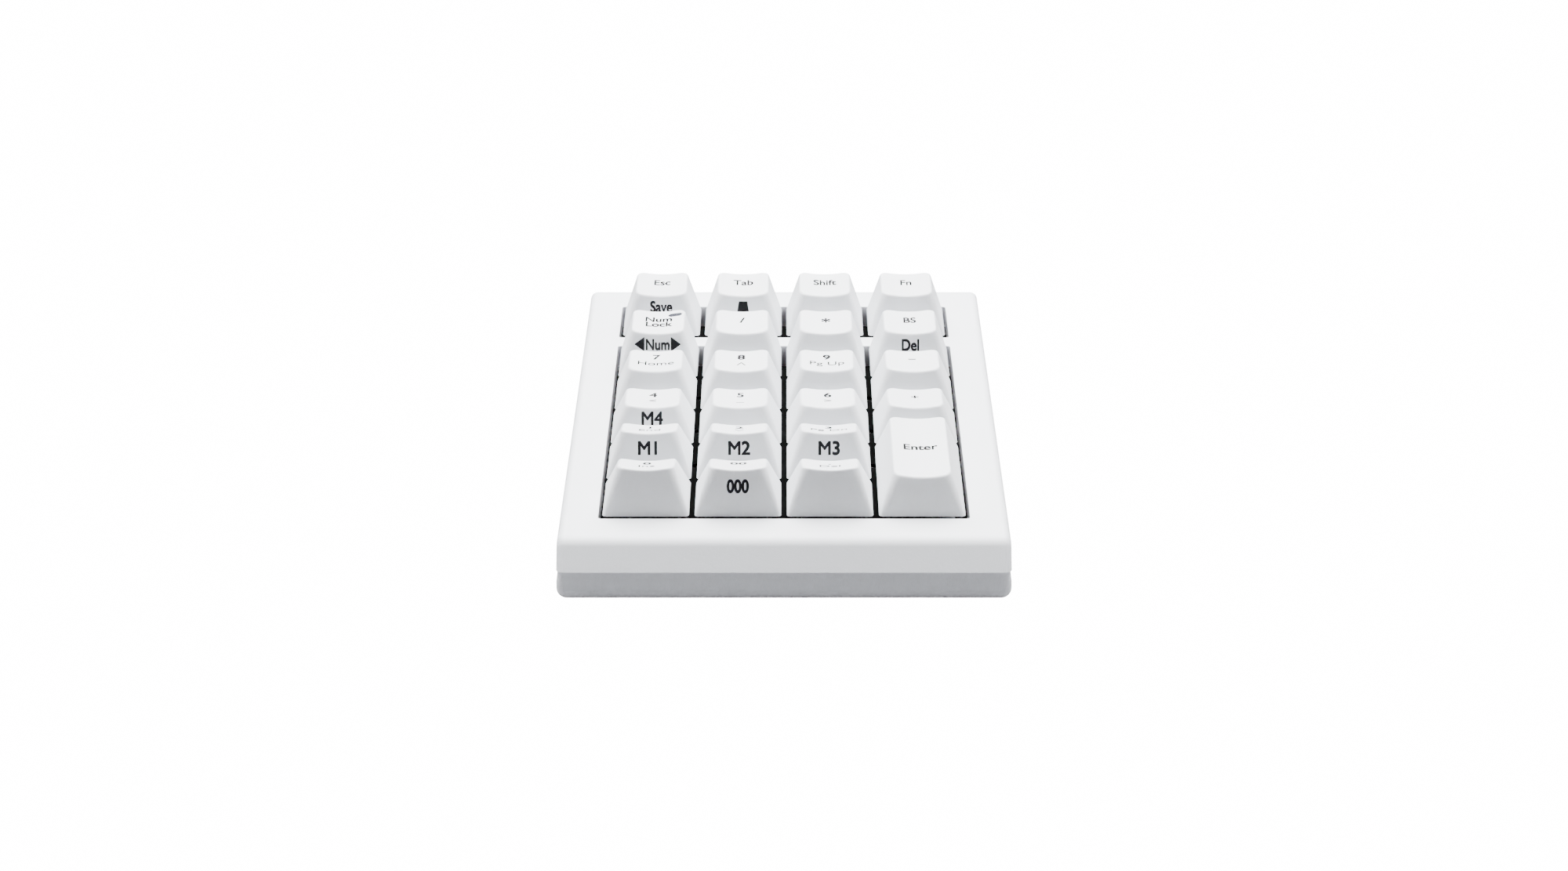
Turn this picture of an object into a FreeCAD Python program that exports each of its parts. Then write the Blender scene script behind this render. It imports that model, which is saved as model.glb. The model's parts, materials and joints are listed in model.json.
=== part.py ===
"""Numeric keypad with sculpted caps over dome-and-spring switches in a wedge-shaped case.

Millimetres, +Z up. The origin is below the middle of the case, on the surface it stands on.
X runs across the keypad, +Y towards its back. The deck, the flat top of the case, is tilted
up towards the back; what lies on or under it is laid out in the deck frame: x across, u along
the deck from the front edge of the main well, n square to the deck.
"""
import FreeCAD, Part
import math
import os
import Sketcher

DIMENSIONS = (
    # deck and keys
    ("deck_tilt", 7.0, "slope of the deck, degrees"),
    ("key_pitch", 19.05, "spacing of the keys"),
    ("key_gap", 1.15, "gap between two caps at their bases"),
    ("key_travel", 4.0, "full stroke of a key"),
    ("well_margin_side", 0.3, "well edge beyond the outer key cell, across"),
    ("well_margin_end", 0.375, "well edge beyond the outer key cell, along"),
    ("crossbar", 5.4, "bar between the main well and the top well"),
    ("border_side", 8.0, "well edge to the outside of the rim, across"),
    ("border_front", 9.6, "front fold to the main well, along the deck"),
    ("border_rear", 11.4, "top well to the rear edge, along the deck"),
    # case
    ("foot_proud", 1.1, "how far the rubber feet stand out of the floor"),
    ("shoulder_height", 4.7, "height where the lower case is widest"),
    ("seam_height", 7.1, "height of the seam between the two shells"),
    ("seam_step", 0.3, "how far the upper case stands out over the lower one at the seam"),
    ("fold_height", 13.3, "height of the fold between front slope and deck"),
    ("front_slope_run", 3.6, "how far the front slope leans back"),
    ("rear_draft", 1.0, "draft of the rear wall, degrees"),
    ("case_wall", 2.0, "wall of the upper case"),
    ("edge_round", 1.7, "rounding of the case's outer edges"),
    ("fold_round", 3.6, "rounding of the front fold"),
    ("well_round", 0.7, "corner radius of the wells"),
    ("skirt_wall", 1.2, "wall of the well skirts"),
    ("skirt_depth", 5.0, "how far the skirts hang below the deck"),
    ("floor_wall", 1.8, "floor of the lower case"),
    ("tray_wall", 2.0, "wall of the lower case"),
    ("tray_round", 2.2, "rounding under the lower case"),
    ("lip_wall", 0.9, "locating lip of the lower case"),
    ("lip_rise", 1.9, "how far the lip enters the upper case"),
    ("lip_ledge", 1.2, "ledge below the seam that carries the lip"),
    ("fit_gap", 0.15, "clearance of pieces that slip together"),
    ("post_thickness", 4.4, "posts under the circuit board"),
    ("outlet_width", 8.0, "cable outlet, across"),
    ("outlet_height", 6.0, "cable outlet, above the seam"),
    ("meld", 0.3, "overlap of pieces that are joined into one solid"),
    ("overcut", 0.1, "how far a cut runs past what it cuts"),
    # caps
    ("cap_side_inset", 3.1, "lean of a cap's sides"),
    ("cap_front_inset", 3.0, "lean of a cap's front"),
    ("cap_back_inset", 1.6, "lean of a cap's back"),
    ("cap_wall", 1.3, "wall of a cap"),
    ("cap_ceiling", 1.35, "thickness of a cap's top"),
    ("cap_base_round", 0.9, "corner radius of a cap at its base"),
    ("cap_top_round", 2.0, "corner radius of a cap at its top"),
    ("cap_edge_round", 0.45, "rounding of a cap's rim"),
    ("dish_radius", 25.0, "radius of the hollow in a cap's top"),
    ("dish_spare", 0.23, "reach of that hollow beyond the sides of the top"),
    ("post_radius", 2.7, "post under a cap"),
    ("post_reach", 1.0, "how far the post goes below the deck"),
    # stack under the caps
    ("plate_wall", 1.0, "switch plate"),
    ("plate_ledge_side", 1.3, "plate beyond the skirts, across"),
    ("plate_ledge_end", 0.4, "plate beyond the skirts, along"),
    ("thread_wall", 0.9, "wall of the plate's threaded bosses"),
    ("housing_spare", 5.25, "key pitch less the housing's width"),
    ("flange_overhang", 0.1, "housing flange beyond its cut-out"),
    ("cutout_gap", 0.05, "cut-out beyond the housing, each side"),
    ("flange_wall", 0.8, "housing flange above the plate"),
    ("housing_depth", 3.2, "housing below the plate's top"),
    ("tower_inset", 0.9, "housing edge to its round tower"),
    ("tower_top", 0.9, "tower top below the deck"),
    ("tower_wall", 0.6, "wall of the tower"),
    ("tower_roof", 1.0, "roof of the tower"),
    ("plunger_gap", 0.3, "clearance round the plunger"),
    ("plunger_flange", 1.5, "step from the plunger's neck to its skirt"),
    ("plunger_rise", 3.2, "plunger neck above the deck"),
    ("plunger_skirt_height", 1.45, "height of the plunger's skirt"),
    ("post_gap", 0.05, "clearance of the post in the plunger"),
    ("socket_spare", 0.5, "socket below the post's end"),
    ("stop_gap", 0.05, "plunger skirt below the tower's roof"),
    ("sheet_wall", 0.6, "dome sheet"),
    ("dome_inset", 0.6, "dome's foot inside the housing's bore"),
    ("dome_lean", 1.4, "narrowing of the dome from foot to crown"),
    ("dome_wall", 0.45, "wall of a dome"),
    ("sheet_hole_gap", 0.4, "clearance of the sheet's holes round the bosses' threads"),
    ("board_wall", 1.2, "circuit board"),
    ("board_inset", 1.2, "board edge inside the plate's edge, across"),
    ("board_end_inset", 0.2, "board edge inside the plate's edge, along"),
    ("chip_side", 10.0, "controller chip"),
    ("chip_height", 1.2, "controller chip"),
    ("header_width", 12.0, "cable header, across"),
    ("header_length", 4.0, "cable header, along"),
    ("header_height", 3.5, "cable header"),
    ("lamp_width", 1.0, "lamp, across"),
    ("lamp_length", 0.8, "lamp, along"),
    ("lamp_height", 0.5, "lamp"),
    ("light_radius", 0.9, "light channel over the lamp"),
    ("light_inset", 1.75, "light channel in from the housing's sides"),
    ("spring_wire", 0.3, "wire of the conical springs"),
    ("spring_foot", 3.6, "radius of a spring's lowest coil"),
    ("spring_crown", 1.5, "radius of a spring's top coil"),
    ("spring_crown_gap", 0.05, "top coil below the dome's crown"),
    # fasteners, feet, legs
    ("case_screw", 2.5, "thread of the case screws"),
    ("case_screw_head", 4.4, "head of the case screws"),
    ("case_screw_crown", 1.4, "height of a case screw's head"),
    ("case_screw_length", 8.0, "case screws under the head"),
    ("head_recess", 1.7, "depth of the recesses for the case screws' heads"),
    ("head_wall", 0.95, "wall round those recesses"),
    ("pilot_spare", 0.3, "pilot hole beyond the end of its screw"),
    ("boss_radius", 2.4, "screw bosses"),
    ("boss_gap", 0.6, "front bosses behind the lip"),
    ("boss_column", 34.0, "screw bosses off the centre line"),
    ("board_screw", 2.0, "thread of the board screws"),
    ("board_screw_head", 3.6, "head of the board screws"),
    ("board_screw_crown", 1.1, "height of a board screw's head"),
    ("board_screw_length", 4.4, "board screws under the head"),
    ("thread_slack", 0.02, "screw thread inside its hole"),
    ("screw_tip", 0.6, "tapered end of a screw"),
    ("head_bevel", 0.4, "bevel of a screw's head"),
    ("cross_width", 0.6, "width of a screw's cross recess"),
    ("screw_gap", 0.15, "clearance round a screw's shank"),
    ("foot_radius", 5.0, "rubber feet"),
    ("foot_bevel", 0.5, "bevel of the feet"),
    ("foot_seat", 0.5, "depth of the seats of the feet"),
    ("foot_gap", 0.1, "clearance round a foot in its seat"),
    ("foot_column_front", 36.0, "front feet off the centre line"),
    ("foot_column_rear", 17.0, "rear feet off the centre line"),
    ("foot_margin", 16.0, "feet in from the front and rear of the case"),
    ("leg_width", 12.0, "tilt leg"),
    ("leg_length", 22.0, "tilt leg, pivot to tip"),
    ("leg_thickness", 2.6, "tilt leg"),
    ("leg_web", 1.6, "thickness of a leg where it is hollowed"),
    ("leg_side_rim", 2.0, "rim beside that hollow"),
    ("leg_tip_rim", 3.0, "rim before that hollow"),
    ("leg_heel_rim", 4.0, "rim behind that hollow"),
    ("leg_sink", 0.2, "stowed leg above the underside of the floor"),
    ("leg_tip_room", 1.0, "recess beyond a leg's tip"),
    ("leg_column", 33.0, "tilt legs off the centre line"),
    ("leg_margin", 12.0, "leg pivot in from the rear of the case"),
    ("leg_gap", 0.4, "clearance round a leg in its recess"),
    ("leg_heel", 1.95, "recess behind the leg's pivot"),
    ("leg_pin_radius", 1.0, "pivot stubs of a leg"),
    ("leg_pin_length", 1.2, "pivot stubs beyond the leg's sides"),
    ("leg_pin_gap", 0.08, "clearance round a pivot stub"),
    ("recess_wall", 1.6, "walls round a leg's recess"),
    # Enter key's stabiliser
    ("wire", 1.0, "stabiliser wire"),
    ("wire_tower_gap", 0.15, "wire bar off the Enter housing's tower"),
    ("wire_bar_depth", 3.65, "wire bar below the deck"),
    ("wire_half_span", 12.0, "wire arms off the key's middle"),
    ("wire_arm", 10.65, "length of the wire's arms"),
    ("wire_pin", 2.5, "inward pins at the arms' ends"),
    ("wire_rise", 22.1, "slope of the arms at rest, degrees"),
    ("hook_wall", 1.2, "hook ribs in the Enter cap"),
    ("hook_gap", 0.2, "clearance of the wire in a hook"),
    ("hook_inset", 0.3, "hook ribs inside the wire's arms"),
    ("hook_floor", 0.35, "rib below its slot"),
    ("hook_left_rim", 0.9, "rib left of its slot"),
    ("hook_right_rim", 0.7, "rib right of its slot"),
    ("hook_root", 0.6, "rib's top below the cap's rim"),
    ("clip_row", 9.5, "wire clips off the key's middle"),
    ("clip_width", 1.6, "wire clip"),
    ("clip_rim", 0.3, "clip round the wire bar"),
    ("clip_strip_root", 1.4, "clip strip inside the tower"),
    # Num Lock window
    ("window_length", 3.2, "oval window, across"),
    ("window_width", 1.8, "oval window, along"),
    ("window_column", 3.7, "window off the cap's centre, across"),
    ("window_row", 4.4, "window off the cap's centre, along"),
    ("lens_gap", 0.05, "clearance round the lens"),
)

# Heights of a cap's rim above the deck: at its back, at its front.
CAP_PROFILES = {
    "top": (10.1, 9.65),
    "second": (10.4, 10.15),
    "seven": (8.15, 8.7),
    "four": (6.65, 8.0),
    "low": (6.25, 10.1),
    "enter": (7.85, 8.45),
}

# Rows from the back to the front: profile, place of the row and the caps from left to right.
MAIN_ROWS = (
    ("second", 4, ("num_lock", "divide", "multiply", "backspace")),
    ("seven", 3, ("7", "8", "9", "minus")),
    ("four", 2, ("4", "5", "6", "plus")),
    ("low", 1, ("1", "2", "3")),
    ("low", 0, ("0", "00", "decimal")),
)
TOP_ROW = ("top", ("esc", "tab", "shift", "fn"))
MAIN_ROW_COUNT = 5
COLUMN_COUNT = 4
CHIP_ROW = 2.9
FRONT_POSTS = (-2, 0, 2)
POST_ROW = 4.1
REAR_POSTS = (-1.2, 1.2)
LAST_POST = 0.8
SPRING_HALF_TURNS = 8
SLACK = 0.01

V = FreeCAD.Vector
doc = FreeCAD.newDocument("numeric_keypad")
dims = doc.addObject("Spreadsheet::Sheet", "dims")
for line, (alias, amount, note) in enumerate(DIMENSIONS, start=1):
    dims.set(f"A{line}", str(amount))
    dims.set(f"B{line}", note)
    dims.setAlias(f"A{line}", alias)
for profile, (back, front) in CAP_PROFILES.items():
    for side, amount in (("back", back), ("front", front)):
        line += 1
        dims.set(f"A{line}", str(amount))
        dims.set(f"B{line}", f"rim height of the {profile} caps at the {side}")
        dims.setAlias(f"A{line}", f"rim_{profile}_{side}")
doc.recompute()

# ---------------------------------------------------------------- sizes that follow
WELL_HALF_WIDTH = f"({COLUMN_COUNT} * dims.key_pitch / 2 + dims.well_margin_side)"
MAIN_WELL_END = f"({MAIN_ROW_COUNT} * dims.key_pitch + 2 * dims.well_margin_end)"
TOP_WELL_START = f"({MAIN_WELL_END} + dims.crossbar)"
TOP_WELL_END = f"({TOP_WELL_START} + dims.key_pitch + 2 * dims.well_margin_end)"
DECK_LENGTH = f"(dims.border_front + {TOP_WELL_END} + dims.border_rear)"
DECK_RUN = f"({DECK_LENGTH} * cos(dims.deck_tilt))"
REAR_HEIGHT = f"(dims.fold_height + {DECK_LENGTH} * sin(dims.deck_tilt))"
REAR_LEAN = f"(({REAR_HEIGHT} - dims.seam_height) * tan(dims.rear_draft))"
HALF_WIDTH = f"({WELL_HALF_WIDTH} + dims.border_side)"
HALF_LENGTH = f"(({DECK_RUN} + dims.front_slope_run + {REAR_LEAN}) / 2)"
FOLD_Y = f"(-{HALF_LENGTH} + dims.front_slope_run)"
DECK_Y = f"({FOLD_Y} + dims.border_front * cos(dims.deck_tilt))"
DECK_Z = "(dims.fold_height + dims.border_front * sin(dims.deck_tilt))"

CAP_BASE = "(dims.key_pitch - dims.key_gap)"
CAP_TOP_HALF = f"({CAP_BASE} / 2 - dims.cap_side_inset)"
DISH_RISE = f"sqrt(dims.dish_radius ^ 2 - ({CAP_TOP_HALF} + dims.dish_spare) ^ 2)"
DISH_DEPTH = f"(dims.dish_radius - {DISH_RISE})"
PLATE_TOP = "(-dims.skirt_depth)"
PLATE_BOTTOM = f"({PLATE_TOP} - dims.plate_wall)"
HOUSING_BOTTOM = f"({PLATE_TOP} - dims.housing_depth)"
SHEET_BOTTOM = f"({HOUSING_BOTTOM} - dims.sheet_wall)"
BOARD_BOTTOM = f"({SHEET_BOTTOM} - dims.board_wall)"
PLATE_HALF_WIDTH = f"({WELL_HALF_WIDTH} + dims.skirt_wall + dims.plate_ledge_side)"
PLATE_FRONT = "(-dims.skirt_wall - dims.plate_ledge_end)"
PLATE_REAR = f"({TOP_WELL_END} + dims.skirt_wall + dims.plate_ledge_end)"
BOARD_ACROSS = (f"-{PLATE_HALF_WIDTH} + dims.board_inset", f"{PLATE_HALF_WIDTH} - dims.board_inset")
BOARD_ALONG = (f"{PLATE_FRONT} + dims.board_end_inset", f"{PLATE_REAR} - dims.board_end_inset")
HOUSING_HALF = "((dims.key_pitch - dims.housing_spare) / 2)"
TOWER_RADIUS = f"({HOUSING_HALF} - dims.tower_inset)"
BORE_RADIUS = f"({TOWER_RADIUS} - dims.tower_wall)"
PLUNGER_SKIRT_RADIUS = f"({BORE_RADIUS} - dims.plunger_gap)"
PLUNGER_NECK_RADIUS = f"({PLUNGER_SKIRT_RADIUS} - dims.plunger_flange)"
TOWER_OPENING_RADIUS = f"({PLUNGER_NECK_RADIUS} + dims.plunger_gap)"
TOWER_TOP = "(-dims.tower_top)"
PLUNGER_SKIRT_TOP = f"({TOWER_TOP} - dims.tower_roof - dims.stop_gap)"
PLUNGER_SKIRT_BOTTOM = f"({PLUNGER_SKIRT_TOP} - dims.plunger_skirt_height)"
DOME_FOOT_RADIUS = f"({BORE_RADIUS} - dims.dome_inset)"
DOME_CROWN_RADIUS = f"({DOME_FOOT_RADIUS} - dims.dome_lean)"
DOME_TOP = f"({PLUNGER_SKIRT_BOTTOM} - dims.stop_gap)"
LIGHT_OFFSET = f"({HOUSING_HALF} - dims.light_inset)"

TRAY_FLOOR_TOP = "(dims.foot_proud + dims.floor_wall)"
FRONT_LEAN = "atan(dims.front_slope_run / (dims.fold_height - dims.seam_height))"
LIP_HALF_WIDTH = f"({HALF_WIDTH} - dims.case_wall - dims.fit_gap)"
LIP_REAR = f"({HALF_LENGTH} - dims.case_wall - dims.fit_gap)"
LIP_FRONT = (f"({HALF_LENGTH} - dims.case_wall / cos({FRONT_LEAN})"
             f" - dims.lip_rise * tan({FRONT_LEAN}) - dims.fit_gap)")
BOSS_FRONT_Y = f"(-{LIP_FRONT} + dims.lip_wall + dims.boss_gap + dims.boss_radius)"
BOSS_REAR_Y = f"({LIP_REAR} - dims.boss_radius)"
SCREW_SEAT = "(dims.foot_proud + dims.head_recess)"
FOOT_Y = f"({HALF_LENGTH} - dims.foot_margin)"
LEG_PIVOT_Y = f"({HALF_LENGTH} - dims.leg_margin)"
LEG_PIVOT_Z = "(dims.foot_proud + dims.leg_sink + dims.leg_thickness / 2)"
RECESS_TOP = f"({LEG_PIVOT_Z} + dims.leg_thickness / 2 + dims.leg_gap)"
RECESS_FRONT_Y = f"({LEG_PIVOT_Y} - dims.leg_length - dims.leg_tip_room)"
RECESS_REAR_Y = f"({LEG_PIVOT_Y} + dims.leg_heel)"
RECESS_HALF_WIDTH = "(dims.leg_width / 2 + dims.leg_gap)"


def number(expression):
    """The value of an expression over the dimension sheet."""
    return float(dims.evalExpression(str(expression)))


def bind(feature, **expressions):
    """Bind a feature's sizes to the dimension sheet."""
    for name, expression in expressions.items():
        feature.setExpression(name, str(expression))
    return feature


def place(feature, x="0", y="0", z="0", turn="0", axis=(1, 0, 0)):
    """Bind a feature's place, and its turn in degrees about an axis."""
    turned = f"create(<<rotation>>; create(<<vector>>; {axis[0]}; {axis[1]}; {axis[2]}); {turn})"
    moved = f"create(<<vector>>; {x}; {y}; {z})"
    feature.setExpression("Placement", f"create(<<placement>>; {moved}; {turned})")
    return feature


def on_deck(feature, x="0", along="0"):
    """Seat a feature drawn in the deck frame, with its own origin at x and along the deck."""
    y = f"{DECK_Y} + ({along}) * cos(dims.deck_tilt)"
    z = f"{DECK_Z} + ({along}) * sin(dims.deck_tilt)"
    return place(feature, x, y, z, "dims.deck_tilt")


def box(name, x, y, z):
    """A box between pairs of bounds."""
    block = doc.addObject("Part::Box", name)
    bind(block, Length=f"({x[1]}) - ({x[0]})", Width=f"({y[1]}) - ({y[0]})", Height=f"({z[1]}) - ({z[0]})")
    return place(block, x[0], y[0], z[0])


def centred_box(name, x, y, width, length, z):
    """A box about an upright line."""
    across = (f"{x} - {width} / 2", f"{x} + {width} / 2")
    along = (f"{y} - {length} / 2", f"{y} + {length} / 2")
    return box(name, across, along, z)


def cylinder(name, radius, z, x="0", y="0"):
    """An upright cylinder between two heights."""
    rod = doc.addObject("Part::Cylinder", name)
    bind(rod, Radius=radius, Height=f"({z[1]}) - ({z[0]})")
    return place(rod, x, y, z[0])


def cone(name, low_radius, high_radius, z, x="0", y="0"):
    """An upright cone between two heights."""
    solid = doc.addObject("Part::Cone", name)
    bind(solid, Radius1=low_radius, Radius2=high_radius, Height=f"({z[1]}) - ({z[0]})")
    return place(solid, x, y, z[0])


def rod_across(name, radius, x, y, z):
    """A cylinder along X."""
    rod = doc.addObject("Part::Cylinder", name)
    bind(rod, Radius=radius, Height=f"({x[1]}) - ({x[0]})")
    return place(rod, x[0], y, z, "90", (0, 1, 0))


def rod_along(name, radius, x, y, z):
    """A cylinder along Y."""
    rod = doc.addObject("Part::Cylinder", name)
    bind(rod, Radius=radius, Height=f"({y[1]}) - ({y[0]})")
    return place(rod, x, y[0], z, "-90", (1, 0, 0))


def fused(name, pieces):
    """One solid from several."""
    union = doc.addObject("Part::MultiFuse", name)
    union.Shapes = pieces
    return union


def cut(name, base, tools):
    """The base less its tools."""
    tool = tools[0] if len(tools) == 1 else fused(f"{name}_tools", tools)
    rest = doc.addObject("Part::Cut", name)
    rest.Base = base
    rest.Tool = tool
    return rest


def mirrored_pair(name, pieces):
    """Pieces and their mirror images across the middle plane X = 0."""
    group = pieces[0] if len(pieces) == 1 else fused(f"{name}_right", pieces)
    other = doc.addObject("Part::Mirroring", f"{name}_left")
    other.Source = group
    other.Normal = V(1, 0, 0)
    return [group, other]


def copies(label, master, spots):
    """Separate solids, one copy of the master's shape at each placement."""
    doc.recompute()
    group = doc.addObject("Part::Feature", label)
    solids = []
    for spot in spots:
        solid = master.Shape.copy()
        solid.Placement = spot.multiply(solid.Placement)
        solids.append(solid)
    group.Shape = Part.makeCompound(solids)
    return group


def deck_spot(x, along):
    """The placement of a point on the deck, turned with it."""
    turn = FreeCAD.Rotation(V(1, 0, 0), number("dims.deck_tilt"))
    foot = V(x, number(DECK_Y), number(DECK_Z))
    return FreeCAD.Placement(foot + turn.multVec(V(0, along, 0)), turn)


# ---------------------------------------------------------------- sketches and bodies
def new_body(label):
    """An empty body with its own label."""
    body = doc.addObject("PartDesign::Body", label)
    body.Label = label
    return body


def sketch_on(body, role, name, lift="0", forward="0", tilt="0"):
    """A sketch on a body's own origin plane, shifted and tilted about its own X axis."""
    sketch = body.newObject("Sketcher::SketchObject", name)
    plane = next(item for item in body.Origin.OriginFeatures if item.Role == role)
    sketch.AttachmentSupport = [(plane, "")]
    sketch.MapMode = "FlatFace"
    shift = f"create(<<vector>>; 0; {forward}; {lift})"
    turned = f"create(<<rotation>>; create(<<vector>>; 1; 0; 0); {tilt})"
    sketch.setExpression("AttachmentOffset", f"create(<<placement>>; {shift}; {turned})")
    return sketch


def pin_point(sketch, geometry, end, x, y):
    """Hold a point of a sketch at two distances from its origin."""
    for kind, expression in (("DistanceX", x), ("DistanceY", y)):
        index = sketch.addConstraint(Sketcher.Constraint(kind, -1, 1, geometry, end, number(expression)))
        sketch.setExpression(f"Constraints[{index}]", expression)


def draw_polygon(sketch, points):
    """A closed outline through points given as pairs of expressions."""
    corners = [V(number(x), number(y), 0) for x, y in points]
    count = len(corners)
    for index in range(count):
        sketch.addGeometry(Part.LineSegment(corners[index], corners[(index + 1) % count]))
    for index in range(count):
        sketch.addConstraint(Sketcher.Constraint("Coincident", index, 2, (index + 1) % count, 1))
    for index, (x, y) in enumerate(points):
        pin_point(sketch, index, 1, x, y)
    return sketch


def draw_rectangle(sketch, x, y):
    """A rectangle between pairs of bounds."""
    return draw_polygon(sketch, [(x[0], y[0]), (x[1], y[0]), (x[1], y[1]), (x[0], y[1])])


def draw_rounded_rectangle(sketch, x, y, radius):
    """A rectangle between pairs of bounds, its corners rounded by tangent arcs."""
    west, east = (number(bound) for bound in x)
    south, north = (number(bound) for bound in y)
    radius = f"({radius})"
    bend = number(radius)
    centres = [
        (f"({x[1]}) - {radius}", f"({y[0]}) + {radius}"),
        (f"({x[1]}) - {radius}", f"({y[1]}) - {radius}"),
        (f"({x[0]}) + {radius}", f"({y[1]}) - {radius}"),
        (f"({x[0]}) + {radius}", f"({y[0]}) + {radius}"),
    ]
    sides = (
        (V(west + bend, south, 0), V(east - bend, south, 0)),
        (V(east, south + bend, 0), V(east, north - bend, 0)),
        (V(east - bend, north, 0), V(west + bend, north, 0)),
        (V(west, north - bend, 0), V(west, south + bend, 0)),
    )
    for index, (start, finish) in enumerate(sides):
        sketch.addGeometry(Part.LineSegment(start, finish))
        centre = V(number(centres[index][0]), number(centres[index][1]), 0)
        circle = Part.Circle(centre, V(0, 0, 1), bend)
        first = math.radians(-90 + 90 * index)
        sketch.addGeometry(Part.ArcOfCircle(circle, first, first + math.pi / 2))
    for index in range(4):
        line, arc, following = 2 * index, 2 * index + 1, (2 * index + 2) % 8
        sketch.addConstraint(Sketcher.Constraint("Tangent", line, 2, arc, 1))
        sketch.addConstraint(Sketcher.Constraint("Tangent", arc, 2, following, 1))
        pin_point(sketch, arc, 3, *centres[index])
        if index:
            sketch.addConstraint(Sketcher.Constraint("Equal", 1, arc))
    index = sketch.addConstraint(Sketcher.Constraint("Radius", 1, bend))
    sketch.setExpression(f"Constraints[{index}]", str(radius))
    return sketch


def draw_circles(sketch, spots, radius):
    """Equal circles at pairs of expressions."""
    for index, (x, y) in enumerate(spots):
        sketch.addGeometry(Part.Circle(V(number(x), number(y), 0), V(0, 0, 1), number(radius)))
        pin_point(sketch, index, 3, x, y)
        if index:
            sketch.addConstraint(Sketcher.Constraint("Equal", 0, index))
    index = sketch.addConstraint(Sketcher.Constraint("Radius", 0, number(radius)))
    sketch.setExpression(f"Constraints[{index}]", str(radius))
    return sketch


def grow(body, kind, name, sketch, length, reverse=False, both_ways=False):
    """A Pad or a Pocket of a sketch."""
    feature = body.newObject(f"PartDesign::{kind}", name)
    feature.Profile = sketch
    feature.setExpression("Length", length)
    feature.Reversed = reverse
    feature.Midplane = both_ways
    return feature


def loft(body, kind, name, first, last):
    """A ruled loft between two sketches."""
    feature = body.newObject(f"PartDesign::{kind}", name)
    feature.Profile = first
    feature.Sections = [last]
    feature.Ruled = True
    return feature


def edge_names(feature, wanted):
    """The names of a feature's edges that pass a test on their middle point."""
    doc.recompute()
    names = []
    for index, edge in enumerate(feature.Shape.Edges, start=1):
        middle = edge.valueAt((edge.FirstParameter + edge.LastParameter) / 2)
        if wanted(middle, edge):
            names.append(f"Edge{index}")
    return names


def round_edges(body, name, feature, radius, wanted):
    """Round the edges of a feature that pass a test."""
    fillet = body.newObject("PartDesign::Fillet", name)
    fillet.Base = (feature, edge_names(feature, wanted))
    fillet.setExpression("Radius", str(radius))
    return fillet


# ---------------------------------------------------------------- keys and their places
def column_x(column):
    """A column's centre off the middle plane."""
    return f"({column - (COLUMN_COUNT - 1) / 2} * dims.key_pitch)"


def row_u(place_in_main):
    """A main row's centre along the deck."""
    return f"(dims.well_margin_end + {place_in_main + 0.5} * dims.key_pitch)"


TOP_ROW_U = f"({TOP_WELL_START} + dims.well_margin_end + dims.key_pitch / 2)"
ENTER_U = "(dims.well_margin_end + dims.key_pitch)"
HEADER_U = f"({TOP_WELL_START} + dims.key_pitch / 3)"

keys = []
for column, name in enumerate(TOP_ROW[1]):
    keys.append((name, TOP_ROW[0], column_x(column), TOP_ROW_U))
for profile, place_in_main, names in MAIN_ROWS:
    for column, name in enumerate(names):
        keys.append((name, profile, column_x(column), row_u(place_in_main)))
keys.append(("enter", "enter", column_x(COLUMN_COUNT - 1), ENTER_U))
_, _, LIT_X, LIT_U = next(key for key in keys if key[0] == "num_lock")


def cap_features(body, profile, length):
    """A cap: leaning walls, hollow inside, a post below and a cylindrical dish on top."""
    back, front = f"dims.rim_{profile}_back", f"dims.rim_{profile}_front"
    half = f"({CAP_BASE} / 2)"
    half_length = f"({length} / 2)"
    run = f"({length} - dims.cap_front_inset - dims.cap_back_inset)"
    slope = f"atan(({back} - {front}) / {run})"
    top_length = f"({run} / cos({slope}))"
    top_front = f"(-{half_length} + dims.cap_front_inset)"

    base = sketch_on(body, "XY_Plane", f"{body.Label}_base")
    draw_rounded_rectangle(
        base, (f"-{half}", half), (f"-{half_length}", half_length), "dims.cap_base_round")
    top = sketch_on(body, "XY_Plane", f"{body.Label}_top", front, top_front, slope)
    draw_rounded_rectangle(
        top, (f"-{CAP_TOP_HALF}", CAP_TOP_HALF), ("0", top_length), "dims.cap_top_round")
    loft(body, "AdditiveLoft", f"{body.Label}_outer", base, top)

    inner = sketch_on(body, "XY_Plane", f"{body.Label}_mouth")
    draw_rounded_rectangle(
        inner, (f"-{half} + dims.cap_wall", f"{half} - dims.cap_wall"),
        (f"-{half_length} + dims.cap_wall", f"{half_length} - dims.cap_wall"), "dims.cap_base_round / 2")
    under = sketch_on(body, "XY_Plane", f"{body.Label}_ceiling",
                      f"{front} - {DISH_DEPTH} - dims.cap_ceiling", top_front, slope)
    draw_rounded_rectangle(
        under, (f"-{CAP_TOP_HALF} + dims.cap_wall / 2", f"{CAP_TOP_HALF} - dims.cap_wall / 2"),
        ("dims.cap_wall / 2", f"{top_length} - dims.cap_wall / 2"), "dims.cap_top_round / 2")
    loft(body, "SubtractiveLoft", f"{body.Label}_hollow", inner, under)

    post = sketch_on(body, "XY_Plane", f"{body.Label}_post_foot", "-dims.post_reach")
    draw_circles(post, [("0", "0")], "dims.post_radius")
    grow(body, "Pad", f"{body.Label}_post", post, f"({back} + {front}) / 2 + dims.post_reach")
    return slope


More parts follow.
